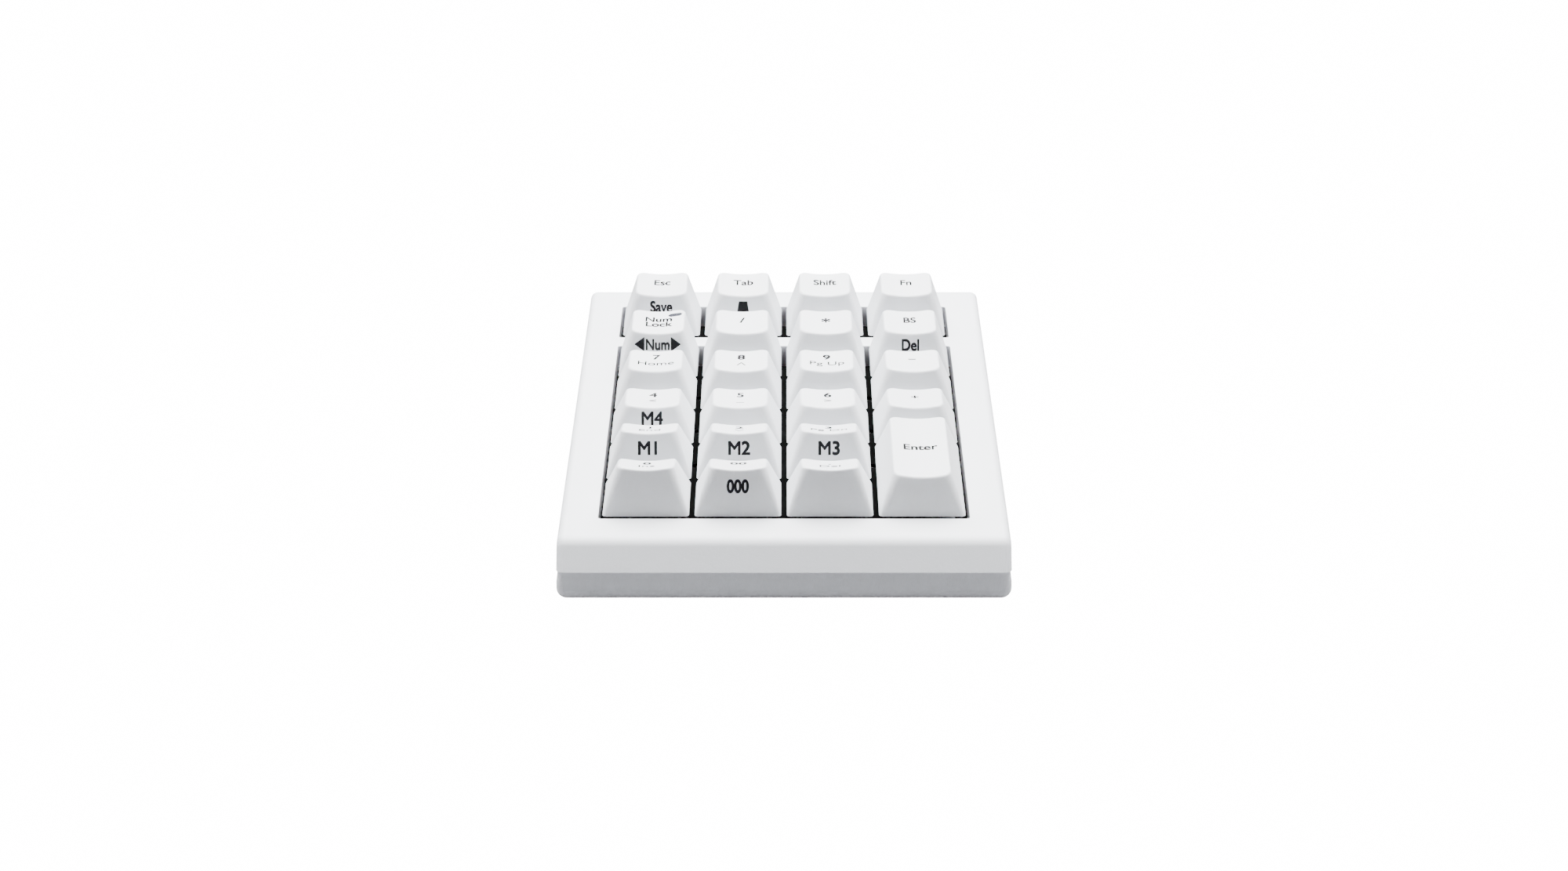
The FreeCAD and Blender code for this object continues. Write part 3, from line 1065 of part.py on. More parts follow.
case_screw = build_screw("case_screw_master", "dims.case_screw", "dims.case_screw_head",
                         "dims.case_screw_length", "dims.case_screw_crown")
board_screw = build_screw("board_screw_master", "dims.board_screw", "dims.board_screw_head",
                          "dims.board_screw_length", "dims.board_screw_crown")
leg = build_leg()
foot = build_foot()
case_screws = copies("case_screws", case_screw, [
    FreeCAD.Placement(V(side * number("dims.boss_column"), number(y), number(SCREW_SEAT)), FreeCAD.Rotation())
    for side in (-1, 1) for y in (BOSS_FRONT_Y, BOSS_REAR_Y)])
below = FreeCAD.Placement(V(0, 0, number(BOARD_BOTTOM)), FreeCAD.Rotation())
board_screws = copies("board_screws", board_screw, [
    deck_spot(number(x), number(u)).multiply(below) for x, u in screw_spots()])
feet = copies("rubber_feet", foot, [
    FreeCAD.Placement(V(number(x), number(y), 0), FreeCAD.Rotation()) for x, y in foot_spots()])
legs = [named_copy(f"tilt_leg_{side}", leg, f"{sign}dims.leg_column", LEG_PIVOT_Y, LEG_PIVOT_Z)
        for side, sign in (("left", "-"), ("right", ""))]
doc.recompute()

parts = {body.Label: body for name, body in caps.items() if name != "num_lock"}
parts["keycap_num_lock"] = windowed
parts.update({item.Label: item for item in plungers + legs})
parts.update({
    "num_lock_lens": lens, "switch_housings": housings, "cone_springs": springs, "switch_plate": plate,
    "dome_sheet": sheet, "circuit_board": board, "enter_stabiliser": stabiliser, "upper_case": upper,
    "lower_case": lower, "case_screws": case_screws, "board_screws": board_screws, "rubber_feet": feet,
})
caps["num_lock"].Label = "keycap_num_lock_plain"
for label, item in parts.items():
    item.Label = label

# ---------------------------------------------------------------- checks and files
for item in doc.Objects:
    if "Invalid" in item.State or "Error" in item.State:
        raise RuntimeError(f"{item.Label} did not build: {item.State}")
for label, item in parts.items():
    if item.Shape.isNull() or not item.Shape.isValid():
        raise RuntimeError(f"{label} has no valid shape")

os.makedirs("parts", exist_ok=True)
for label, item in parts.items():
    item.Shape.exportStep(f"parts/{label}.step")
    print(label, len(item.Shape.Solids), round(item.Shape.Volume, 1))
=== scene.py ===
"""Looks of a numeric keypad: sculpted caps with printed legends in a white wedge-shaped case.

Metres, in the keypad's own frame: +Z up, +X to the right, +Y towards the back. What lies on the
deck, the tilted top of the case, is laid out in the deck frame: x across, u along the deck from
the front edge of the main well, n square to the deck.
"""
import json
import logging
import math
from dataclasses import dataclass
from enum import Enum
from typing import Iterable, Sequence

import bmesh
import bpy
from mathutils import Matrix, Vector


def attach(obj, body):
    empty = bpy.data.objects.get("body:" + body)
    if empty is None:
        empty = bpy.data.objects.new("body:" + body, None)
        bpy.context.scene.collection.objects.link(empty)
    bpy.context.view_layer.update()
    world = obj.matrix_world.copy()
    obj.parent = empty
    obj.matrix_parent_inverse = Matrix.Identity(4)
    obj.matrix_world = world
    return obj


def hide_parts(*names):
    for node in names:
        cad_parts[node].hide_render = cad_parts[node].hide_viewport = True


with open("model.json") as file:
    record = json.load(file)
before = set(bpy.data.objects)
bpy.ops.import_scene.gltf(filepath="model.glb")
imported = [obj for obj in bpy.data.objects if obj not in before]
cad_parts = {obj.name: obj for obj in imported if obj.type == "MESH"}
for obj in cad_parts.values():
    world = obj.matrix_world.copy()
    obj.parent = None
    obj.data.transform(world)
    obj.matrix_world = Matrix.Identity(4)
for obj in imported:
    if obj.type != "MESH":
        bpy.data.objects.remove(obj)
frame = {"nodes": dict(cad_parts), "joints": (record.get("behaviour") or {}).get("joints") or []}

logging.basicConfig(level=logging.INFO, format="%(message)s")
log = logging.getLogger("keypad")

MM = 0.001
Colour = tuple[float, float, float]


class Face(Enum):
    """Where on a cap a legend is printed."""

    TOP = "top"
    FRONT = "front"


class Profile(Enum):
    """Rim heights of a cap above the deck: at its back and at its front."""

    TOP = (10.1 * MM, 9.65 * MM)
    SECOND = (10.4 * MM, 10.15 * MM)
    SEVEN = (8.15 * MM, 8.7 * MM)
    FOUR = (6.65 * MM, 8.0 * MM)
    LOW = (6.25 * MM, 10.1 * MM)
    ENTER = (7.85 * MM, 8.45 * MM)


# ---------------------------------------------------------------- the deck
@dataclass(frozen=True)
class Deck:
    """The tilted plane that the keys stand on.

    The Enter key's stabiliser turns about a line that lies at a known place in the deck frame,
    so the joint gives the plane's slope and origin.
    """

    pitch: float = 19.05 * MM
    well_margin: float = 0.375 * MM
    crossbar: float = 5.4 * MM
    wire_offset: float = 6.65 * MM
    wire_depth: float = 3.65 * MM
    columns: int = 4
    rows: int = 5

    @property
    def enter_u(self) -> float:
        """The Enter key's centre along the deck."""
        return self.well_margin + self.pitch

    def row_u(self, row: int) -> float:
        """A main row's centre along the deck, counted from the front."""
        return self.well_margin + (row + 0.5) * self.pitch

    @property
    def top_row_u(self) -> float:
        """The top row's centre along the deck."""
        main_end = self.rows * self.pitch + 2 * self.well_margin
        return main_end + self.crossbar + self.well_margin + self.pitch / 2

    def column_x(self, column: int) -> float:
        """A column's centre off the middle plane."""
        return (column - (self.columns - 1) / 2) * self.pitch

    def matrix(self, x: float = 0.0, u: float = 0.0) -> Matrix:
        """The deck frame moved to a point on the deck.

        Args:
            x: distance from the middle plane.
            u: distance along the deck.

        Returns:
            A matrix from that local frame to the keypad's frame.
        """
        joint = next(item for item in frame["joints"] if item["name"] == "stabiliser_turn")
        slope = math.atan2(joint["axis"][2], joint["axis"][1])
        turn = Matrix.Rotation(slope, 4, "X")
        local = Vector((self.column_x(self.columns - 1) + self.wire_offset, self.enter_u, -self.wire_depth))
        origin = Vector(joint["pos_m"]) - turn @ local
        return Matrix.Translation(origin + turn @ Vector((x, u, 0.0))) @ turn


DECK = Deck()


# ---------------------------------------------------------------- node helpers
class Tree:
    """A thin hand on a node tree: adds nodes and links them by socket names."""

    def __init__(self, tree: bpy.types.NodeTree) -> None:
        """Keep the tree."""
        self.tree = tree

    def node(self, kind: str, **values: object) -> bpy.types.Node:
        """Add a node and set its properties or its inputs.

        Args:
            kind: the node's type name.
            values: properties of the node, or default values of inputs named in_NAME.

        Returns:
            The new node.
        """
        node = self.tree.nodes.new(kind)
        for key, value in values.items():
            if key.startswith("in_"):
                node.inputs[key[3:].replace("_", " ")].default_value = value
            else:
                setattr(node, key, value)
        return node

    def link(self, source: bpy.types.NodeSocket, target: bpy.types.NodeSocket) -> None:
        """Join two sockets."""
        self.tree.links.new(source, target)

    def math(self, operation: str, first: object, second: object = 0.5) -> bpy.types.NodeSocket:
        """A Math node on sockets or numbers."""
        node = self.node("ShaderNodeMath", operation=operation)
        for index, value in enumerate((first, second)):
            if isinstance(value, bpy.types.NodeSocket):
                self.link(value, node.inputs[index])
            else:
                node.inputs[index].default_value = value
        return node.outputs[0]


def new_group(name: str, inputs: Sequence[tuple[str, str, object]],
              outputs: Sequence[tuple[str, str]]) -> tuple[Tree, bpy.types.Node, bpy.types.Node]:
    """A shader node group with named sockets.

    Args:
        name: the group's name.
        inputs: name, socket type and default of each input.
        outputs: name and socket type of each output.

    Returns:
        The tree, its input node and its output node.
    """
    group = bpy.data.node_groups.new(name, "ShaderNodeTree")
    for label, kind, value in inputs:
        socket = group.interface.new_socket(label, in_out="INPUT", socket_type=kind)
        socket.default_value = value
    for label, kind in outputs:
        group.interface.new_socket(label, in_out="OUTPUT", socket_type=kind)
    tree = Tree(group)
    return tree, tree.node("NodeGroupInput"), tree.node("NodeGroupOutput")


def build_grain_group() -> bpy.types.NodeTree:
    """Fine spark-eroded grain of a mould: a height, and a mask of its deeper pits."""
    number = "NodeSocketFloat"
    tree, given, result = new_group(
        "moulded_grain", (("Grain Scale", number, 2500.0), ("Pit Scale", number, 900.0)),
        (("Height", number), ("Pits", number)))
    place = tree.node("ShaderNodeTexCoord")
    fine = tree.node("ShaderNodeTexNoise", in_Detail=3.0, in_Roughness=0.6)
    pits = tree.node("ShaderNodeTexVoronoi", feature="SMOOTH_F1")
    tree.link(place.outputs["Object"], fine.inputs["Vector"])
    tree.link(place.outputs["Object"], pits.inputs["Vector"])
    tree.link(given.outputs["Grain Scale"], fine.inputs["Scale"])
    tree.link(given.outputs["Pit Scale"], pits.inputs["Scale"])
    mixed = tree.math("MULTIPLY", pits.outputs["Distance"], 0.5)
    tree.link(tree.math("ADD", fine.outputs["Fac"], mixed), result.inputs["Height"])
    tree.link(tree.math("LESS_THAN", pits.outputs["Distance"], 0.22), result.inputs["Pits"])
    return tree.tree


def build_tone_group() -> bpy.types.NodeTree:
    """Broad, faint unevenness of a moulded colour, as flow and handling leave it."""
    number, colour = "NodeSocketFloat", "NodeSocketColor"
    tree, given, result = new_group(
        "uneven_tone",
        (("Colour", colour, (1, 1, 1, 1)), ("Shift", colour, (1, 1, 1, 1)), ("Scale", number, 60.0),
         ("Gloss", number, 0.5), ("Gloss Spread", number, 0.06)),
        (("Colour", colour), ("Roughness", number)))
    place = tree.node("ShaderNodeTexCoord")
    broad = tree.node("ShaderNodeTexNoise", in_Detail=4.0, in_Roughness=0.55)
    tree.link(place.outputs["Object"], broad.inputs["Vector"])
    tree.link(given.outputs["Scale"], broad.inputs["Scale"])
    mix = tree.node("ShaderNodeMix", data_type="RGBA")
    tree.link(broad.outputs["Fac"], mix.inputs["Factor"])
    tree.link(given.outputs["Colour"], mix.inputs["A"])
    tree.link(given.outputs["Shift"], mix.inputs["B"])
    tree.link(mix.outputs["Result"], result.inputs["Colour"])
    centred = tree.math("SUBTRACT", broad.outputs["Fac"], 0.5)
    spread = tree.math("MULTIPLY", centred, given.outputs["Gloss Spread"])
    tree.link(tree.math("ADD", given.outputs["Gloss"], spread), result.inputs["Roughness"])
    return tree.tree


def build_scuff_group() -> bpy.types.NodeTree:
    """Fine hairline scratches in two crossing directions, as a mask."""
    number = "NodeSocketFloat"
    tree, given, result = new_group(
        "hairlines", (("Scale", number, 300.0), ("Amount", number, 0.2)), (("Mask", number),))
    place = tree.node("ShaderNodeTexCoord")
    masks = []
    for turn, stretch in ((0.35, 0.04), (1.9, 0.05)):
        mapping = tree.node("ShaderNodeMapping")
        mapping.inputs["Rotation"].default_value = (0.0, 0.0, turn)
        mapping.inputs["Scale"].default_value = (1.0, stretch, stretch)
        streak = tree.node("ShaderNodeTexNoise", in_Detail=2.0)
        tree.link(place.outputs["Object"], mapping.inputs["Vector"])
        tree.link(mapping.outputs["Vector"], streak.inputs["Vector"])
        tree.link(given.outputs["Scale"], streak.inputs["Scale"])
        masks.append(tree.math("GREATER_THAN", streak.outputs["Fac"], 0.68))
    either = tree.math("MAXIMUM", masks[0], masks[1])
    tree.link(tree.math("MULTIPLY", either, given.outputs["Amount"]), result.inputs["Mask"])
    return tree.tree


# ---------------------------------------------------------------- finishes
@dataclass(frozen=True)
class Finish:
    """A surface: its colour, gloss and relief.

    Every finish carries a grain, a faint unevenness of tone and, where asked, hairline scratches.
    """

    name: str
    colour: Colour
    shift: Colour
    roughness: float = 0.5
    gloss_spread: float = 0.08
    tone_scale: float = 60.0
    grain_scale: float = 2500.0
    pit_scale: float = 900.0
    grain_depth: float = 0.012 * MM
    metallic: float = 0.0
    specular: float = 0.5
    coat: float = 0.0
    scuffs: float = 0.0
    sheen: float = 0.0
    subsurface: float = 0.0
    stretch: tuple[float, float, float] | None = None

    def material(self) -> bpy.types.Material:
        """Build the material once.

        Returns:
            The material, found by name if it exists.
        """
        label = f"{self.name}_surface"
        known = bpy.data.materials.get(label)
        if known:
            return known
        material = bpy.data.materials.new(label)
        material.use_nodes = True
        material.diffuse_color = (*self.colour, 1.0)
        tree = Tree(material.node_tree)
        shader = material.node_tree.nodes["Principled BSDF"]
        shader.inputs["Metallic"].default_value = self.metallic
        shader.inputs["Specular IOR Level"].default_value = self.specular
        shader.inputs["Coat Weight"].default_value = self.coat
        shader.inputs["Sheen Weight"].default_value = self.sheen
        shader.inputs["Subsurface Weight"].default_value = self.subsurface
        shader.inputs["Subsurface Radius"].default_value = (1.2 * MM, 1.0 * MM, 0.9 * MM)
        tone = tree.node("ShaderNodeGroup", node_tree=bpy.data.node_groups["uneven_tone"])
        tone.inputs["Colour"].default_value = (*self.colour, 1.0)
        tone.inputs["Shift"].default_value = (*self.shift, 1.0)
        tone.inputs["Scale"].default_value = self.tone_scale
        tone.inputs["Gloss"].default_value = self.roughness
        tone.inputs["Gloss Spread"].default_value = self.gloss_spread
        grain = tree.node("ShaderNodeGroup", node_tree=bpy.data.node_groups["moulded_grain"])
        grain.inputs["Grain Scale"].default_value = self.grain_scale
        grain.inputs["Pit Scale"].default_value = self.pit_scale
        bump = tree.node("ShaderNodeBump", in_Strength=1.0, in_Distance=self.grain_depth)
        tree.link(tone.outputs["Colour"], shader.inputs["Base Color"])
        tree.link(bump.outputs["Normal"], shader.inputs["Normal"])
        height, roughness = grain.outputs["Height"], tone.outputs["Roughness"]
        if self.stretch:
            height = self.brushed(tree)
        if self.scuffs:
            lines = tree.node("ShaderNodeGroup", node_tree=bpy.data.node_groups["hairlines"])
            lines.inputs["Amount"].default_value = self.scuffs
            roughness = tree.math("SUBTRACT", roughness, lines.outputs["Mask"])
            height = tree.math("SUBTRACT", height, lines.outputs["Mask"])
        tree.link(height, bump.inputs["Height"])
        tree.link(roughness, shader.inputs["Roughness"])
        return material

    def brushed(self, tree: Tree) -> bpy.types.NodeSocket:
        """Drawn or rolled lines along one direction.

        Args:
            tree: the material's tree.

        Returns:
            The height of the lines.
        """
        place = tree.node("ShaderNodeTexCoord")
        mapping = tree.node("ShaderNodeMapping")
        mapping.inputs["Scale"].default_value = self.stretch
        lines = tree.node("ShaderNodeTexNoise", in_Scale=self.grain_scale, in_Detail=2.0)
        tree.link(place.outputs["Object"], mapping.inputs["Vector"])
        tree.link(mapping.outputs["Vector"], lines.inputs["Vector"])
        return lines.outputs["Fac"]


CAP_WHITE = Finish(
    "cap_white", colour=(0.72, 0.733, 0.755), shift=(0.69, 0.705, 0.73), roughness=0.46,
    gloss_spread=0.10, tone_scale=90.0, grain_scale=2600.0, pit_scale=1100.0, grain_depth=0.010 * MM,
    subsurface=0.08)
CASE_WHITE = Finish(
    "case_white", colour=(0.715, 0.73, 0.754), shift=(0.68, 0.697, 0.724), roughness=0.52,
    gloss_spread=0.08, tone_scale=40.0, grain_scale=2200.0, pit_scale=800.0, grain_depth=0.016 * MM,
    scuffs=0.05)
INK = Finish(
    "legend_ink", colour=(0.006, 0.006, 0.007), shift=(0.01, 0.01, 0.011), roughness=0.85,
    gloss_spread=0.1, tone_scale=400.0, grain_scale=3000.0, pit_scale=1500.0, grain_depth=0.004 * MM,
    specular=0.12)
SLIDER_BLACK = Finish(
    "slider_black", colour=(0.012, 0.012, 0.013), shift=(0.02, 0.02, 0.022), roughness=0.55,
    gloss_spread=0.1, tone_scale=200.0, specular=0.2)
HOUSING_BLACK = Finish(
    "housing_black", colour=(0.01, 0.01, 0.011), shift=(0.016, 0.016, 0.018), roughness=0.7,
    gloss_spread=0.1, tone_scale=160.0, specular=0.12)
PLATE_BLACK = Finish(
    "plate_black", colour=(0.003, 0.003, 0.003), shift=(0.005, 0.005, 0.005), roughness=0.9,
    gloss_spread=0.08, tone_scale=120.0, grain_scale=1500.0, pit_scale=700.0, grain_depth=0.03 * MM,
    specular=0.03, scuffs=0.05)
DOME_RUBBER = Finish(
    "dome_rubber", colour=(0.45, 0.46, 0.48), shift=(0.38, 0.39, 0.41), roughness=0.75,
    gloss_spread=0.1, tone_scale=120.0, grain_scale=1800.0, pit_scale=700.0, grain_depth=0.02 * MM,
    sheen=0.15)
SPRING_STEEL = Finish(
    "spring_steel", colour=(0.62, 0.62, 0.64), shift=(0.5, 0.5, 0.53), roughness=0.3, gloss_spread=0.15,
    tone_scale=300.0, metallic=1.0, stretch=(1.0, 0.06, 0.06))
# The stabiliser wire is steel, but its colour is darkened well below that of the other steels. This paints
# the shade it sits in under the Enter cap and keeps it from showing a bright glint there.
WIRE_STEEL_WITH_PAINTED_SHADE = Finish(
    "wire_steel", colour=(0.2, 0.2, 0.21), shift=(0.15, 0.15, 0.16), roughness=0.42, gloss_spread=0.15,
    tone_scale=200.0, metallic=1.0, stretch=(1.0, 0.05, 1.0))
SCREW_STEEL = Finish(
    "screw_steel", colour=(0.56, 0.56, 0.58), shift=(0.44, 0.44, 0.45), roughness=0.32,
    gloss_spread=0.2, tone_scale=350.0, metallic=1.0, scuffs=0.15)
BOARD_GREEN = Finish(
    "board_green", colour=(0.02, 0.13, 0.05), shift=(0.03, 0.18, 0.07), roughness=0.32,
    gloss_spread=0.12, tone_scale=220.0, grain_scale=1600.0, pit_scale=600.0, grain_depth=0.02 * MM,
    coat=0.3)
LENS_SMOKE = Finish(
    "lens_smoke", colour=(0.035, 0.038, 0.048), shift=(0.07, 0.075, 0.09), roughness=0.16,
    gloss_spread=0.06, tone_scale=900.0, grain_scale=3000.0, pit_scale=1500.0, grain_depth=0.002 * MM,
    coat=0.6)
FOOT_RUBBER = Finish(
    "foot_rubber", colour=(0.045, 0.045, 0.048), shift=(0.075, 0.075, 0.08), roughness=0.82,
    gloss_spread=0.1, tone_scale=180.0, grain_scale=1500.0, pit_scale=600.0, grain_depth=0.03 * MM,
    sheen=0.2)

NODE_FINISHES: dict[str, Finish] = {
    "switch_plate": PLATE_BLACK,
    "switch_housings": HOUSING_BLACK,
    "dome_sheet": DOME_RUBBER,
    "cone_springs": SPRING_STEEL,
    "circuit_board": BOARD_GREEN,
    "enter_stabiliser": WIRE_STEEL_WITH_PAINTED_SHADE,
    "num_lock_lens": LENS_SMOKE,
    "case_screws": SCREW_STEEL,
    "board_screws": SCREW_STEEL,
    "rubber_feet": FOOT_RUBBER,
    "tilt_leg_left": CASE_WHITE,
    "tilt_leg_right": CASE_WHITE,
}


def dress(piece: bpy.types.Object, finish: Finish) -> None:
    """Give every slot of an object one finish."""
    if not piece.material_slots:
        piece.data.materials.append(finish.material())
    for item in piece.material_slots:
        item.material = finish.material()


def shown(name: str, mesh: bpy.types.Mesh) -> bpy.types.Object:
    """Put a mesh into the scene as an object at the origin."""
    piece = bpy.data.objects.new(name, mesh)
    bpy.context.scene.collection.objects.link(piece)
    return piece


def finish_piece(piece: bpy.types.Object, body: str, slot: str, *nodes: str) -> bpy.types.Object:
    """Attach a piece to its body and hide the CAD nodes it stands for.

    Args:
        piece: the finished object.
        body: the body it rides on.
        slot: not used.
        nodes: the CAD nodes it replaces.

    Returns:
        The piece.
    """
    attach(piece, body)
    if nodes:
        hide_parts(*nodes)
    log.info("%s: %d faces on %s", piece.name, len(piece.data.polygons), body)
    return piece


# ---------------------------------------------------------------- caps
@dataclass(frozen=True)
class CapShape:
    """Sizes that all the caps share."""

    base: float = 17.9 * MM
    side_inset: float = 3.1 * MM
    front_inset: float = 3.0 * MM
    back_inset: float = 1.6 * MM
    wall: float = 1.3 * MM
    ceiling: float = 1.35 * MM
    base_round: float = 0.9 * MM
    top_round: float = 2.0 * MM
    edge_round: float = 0.62 * MM
    dish_radius: float = 25.0 * MM
    dish_depth: float = 0.75 * MM
    post_radius: float = 2.7 * MM
    post_reach: float = 1.0 * MM
    corner_steps: int = 8
    side_steps: int = 10
    lip_share: float = 0.02
    wall_shares: tuple[float, ...] = (0.2, 0.4, 0.6, 0.8)
    rim_rounds: int = 6
    rim_steps: int = 5
    dish_scales: tuple[float, ...] = (0.86, 0.7, 0.52, 0.34, 0.16)
    crease: float = math.radians(38)


@dataclass
class Legend:
    """One printed mark on a cap.

    Attributes:
        text: what is printed.
        height: size of the type.
        along: place along the face: from its middle, towards the back or upwards.
        width: stretch of the type across the face.
        face: the face that it is printed on.
        weight: how much the strokes are thickened.
        line_pitch: spacing of the lines, as a share of the type's own.
        flare: how much wider a mark gets towards its foot, per millimetre.
    """

    text: str
    height: float
    along: float
    width: float
    face: Face = Face.TOP
    weight: float = 0.0
    line_pitch: float = 0.8
    flare: float = 0.0


@dataclass
class Cap:
    """A keycap: leaning walls, a dished top with a soft rim, hollow below, with its legends."""

    name: str
    profile: Profile
    x: float
    u: float
    legends: list[Legend]
    length: float = 17.9 * MM
    shape: CapShape = CapShape()

    ink_height: float = 0.035 * MM
    ink_strip: float = 0.4 * MM
    type_weld: float = 1e-5

    @property
    def back(self) -> float:
        """Rim height at the back."""
        return self.profile.value[0]

    @property
    def front(self) -> float:
        """Rim height at the front."""
        return self.profile.value[1]

    @property
    def run(self) -> float:
        """The top's length seen from above the deck."""
        return self.length - self.shape.front_inset - self.shape.back_inset

    @property
    def slope(self) -> float:
        """The top's slope, rising towards the back."""
        return math.atan2(self.back - self.front, self.run)

    @property
    def top_length(self) -> float:
        """The top's length along its slope."""
        return self.run / math.cos(self.slope)

    def top_matrix(self) -> Matrix:
        """The frame of the top's plane: its origin at the middle of the front edge."""
        origin = Vector((0.0, -self.length / 2 + self.shape.front_inset, self.front))
        return Matrix.Translation(origin) @ Matrix.Rotation(self.slope, 4, "X")

    def sag(self, across: float) -> float:
        """How far the dish lies below the top's plane."""
        reach = math.sqrt(max(self.shape.dish_radius ** 2 - across ** 2, 0.0))
        return reach - (self.shape.dish_radius - self.shape.dish_depth)

    def on_top(self, across: float, along: float, lift: float = 0.0) -> Vector:
        """A point of the dished top.

        Args:
            across: distance from the middle.
            along: distance along the slope from the front edge.
            lift: height above the surface.

        Returns:
            The point in the cap's frame.
        """
        return self.top_matrix() @ Vector((across, along, lift - self.sag(across)))

    def outline(self, half: float, low: float, high: float, radius: float) -> list[Vector]:
        """Points round a rounded rectangle, in step with each other for every size.

        Args:
            half: half its width.
            low: its lower end.
            high: its upper end.
            radius: its corner radius.

        Returns:
            Flat points, counted round from the lower right corner.
        """
        corners = ((half - radius, low + radius, -90), (half - radius, high - radius, 0),
                   (-half + radius, high - radius, 90), (-half + radius, low + radius, 180))
        points: list[Vector] = []
        for index, (cx, cy, start) in enumerate(corners):
            for step in range(self.shape.corner_steps + 1):
                angle = math.radians(start + 90 * step / self.shape.corner_steps)
                points.append(Vector((cx + radius * math.cos(angle), cy + radius * math.sin(angle), 0.0)))
            nx, ny, turn = corners[(index + 1) % 4]
            angle = math.radians(turn)
            following = Vector((nx + radius * math.cos(angle), ny + radius * math.sin(angle), 0.0))
            last = points[-1].copy()
            for step in range(1, self.shape.side_steps):
                points.append(last.lerp(following, step / self.shape.side_steps))
        return points

    def rings(self) -> list[list[Vector]]:
        """Rings of points from the mouth's edge, up the walls, over the rim and into the dish.

        Returns:
            The rings, in order, each with the same number of points.
        """
        shape = self.shape
        half_top = shape.base / 2 - shape.side_inset
        base = self.outline(shape.base / 2, -self.length / 2, self.length / 2, shape.base_round)
        flat = self.outline(half_top, 0.0, self.top_length, shape.top_round)
        top_frame = self.top_matrix()
        inverse = top_frame.inverted()
        crown = [top_frame @ point for point in flat]
        rims = []
        for low, high in zip(base, crown):
            share = 1.0
            for _ in range(shape.rim_rounds):
                spot = inverse @ low.lerp(high, share)
                share -= (spot.z + self.sag(spot.x)) / max((high - low).length, 1e-6)
            rims.append(low.lerp(high, share))
        walls = [base]
        bottom_lip = [low.lerp(high, shape.lip_share) for low, high in zip(base, rims)]
        walls.append(bottom_lip)
        for share in shape.wall_shares:
            walls.append([low.lerp(high, share) for low, high in zip(base, rims)])
        middle = self.top_length / 2
        outer = [rim + (low - rim).normalized() * shape.edge_round for low, rim in zip(base, rims)]
        inner = []
        for rim in rims:
            spot = inverse @ rim
            inward = Vector((-spot.x, middle - spot.y, 0.0)).normalized() * shape.edge_round
            inner.append(self.on_top(spot.x + inward.x, spot.y + inward.y))
        for step in range(shape.rim_steps + 1):
            share = step / shape.rim_steps
            walls.append([
                a * (1 - share) ** 2 + r * 2 * share * (1 - share) + b * share ** 2
                for a, r, b in zip(outer, rims, inner)])
        for scale in shape.dish_scales:
            ring = []
            for point in inner:
                spot = inverse @ point
                ring.append(self.on_top(spot.x * scale, middle + (spot.y - middle) * scale))
            walls.append(ring)
        return walls

    def inner_rings(self) -> list[list[Vector]]:
        """Rings of the hollow, from the mouth to the ceiling and down the post."""
        shape = self.shape
        half = shape.base / 2 - shape.wall
        half_mouth = self.length / 2 - shape.wall
        mouth = self.outline(half, -half_mouth, half_mouth, shape.base_round / 2)
        half_top = shape.base / 2 - shape.side_inset - shape.wall / 2
        under = self.outline(half_top, shape.wall / 2, self.top_length - shape.wall / 2, shape.top_round / 2)
        drop = Matrix.Translation((0.0, 0.0, -shape.dish_depth - shape.ceiling))
        ceiling = [self.top_matrix() @ drop @ point for point in under]
        post_top, post_foot = [], []
        plane = self.top_matrix() @ drop
        normal = plane.to_3x3() @ Vector((0.0, 0.0, 1.0))
        for point in mouth:
            direction = Vector((point.x, point.y, 0.0)).normalized() * shape.post_radius
            height = plane.translation.z - (normal.y * (direction.y - plane.translation.y)) / normal.z
            post_top.append(Vector((direction.x, direction.y, height)))
            post_foot.append(Vector((direction.x, direction.y, -shape.post_reach)))
        return [mouth, ceiling, post_top, post_foot]

    def mesh(self) -> bpy.types.Mesh:
        """Build the closed cap.

        Returns:
            The mesh, in the keypad's frame.
        """
        grid = bmesh.new()
        place = DECK.matrix(self.x, self.u)

        def skin(rings: list[list[Vector]]) -> list[list[bmesh.types.BMVert]]:
            """Join neighbouring rings with quads and return their vertices."""
            verts = [[grid.verts.new(place @ point) for point in ring] for ring in rings]
            for lower, upper in zip(verts, verts[1:]):
                for index in range(len(lower)):
                    after = (index + 1) % len(lower)
                    grid.faces.new((lower[index], lower[after], upper[after], upper[index]))
            return verts

        def close(ring: list[bmesh.types.BMVert]) -> None:
            """Close a ring with a fan about its middle."""
            middle = sum((vert.co for vert in ring), Vector()) / len(ring)
            centre = grid.verts.new(middle)
            for index in range(len(ring)):
                grid.faces.new((ring[index], ring[(index + 1) % len(ring)], centre))

        outside = skin(self.rings())
        inside = skin(self.inner_rings())
        close(outside[-1])
        close(inside[-1])
        count = len(outside[0])
        for index in range(count):
            after = (index + 1) % count
            grid.faces.new((inside[0][index], inside[0][after], outside[0][after], outside[0][index]))
        bmesh.ops.recalc_face_normals(grid, faces=grid.faces)
        mesh = bpy.data.meshes.new(f"cap_{self.name}")
        grid.to_mesh(mesh)
        grid.free()
        mesh.polygons.foreach_set("use_smooth", [True] * len(mesh.polygons))
        mesh.set_sharp_from_angle(angle=self.shape.crease)
        return mesh

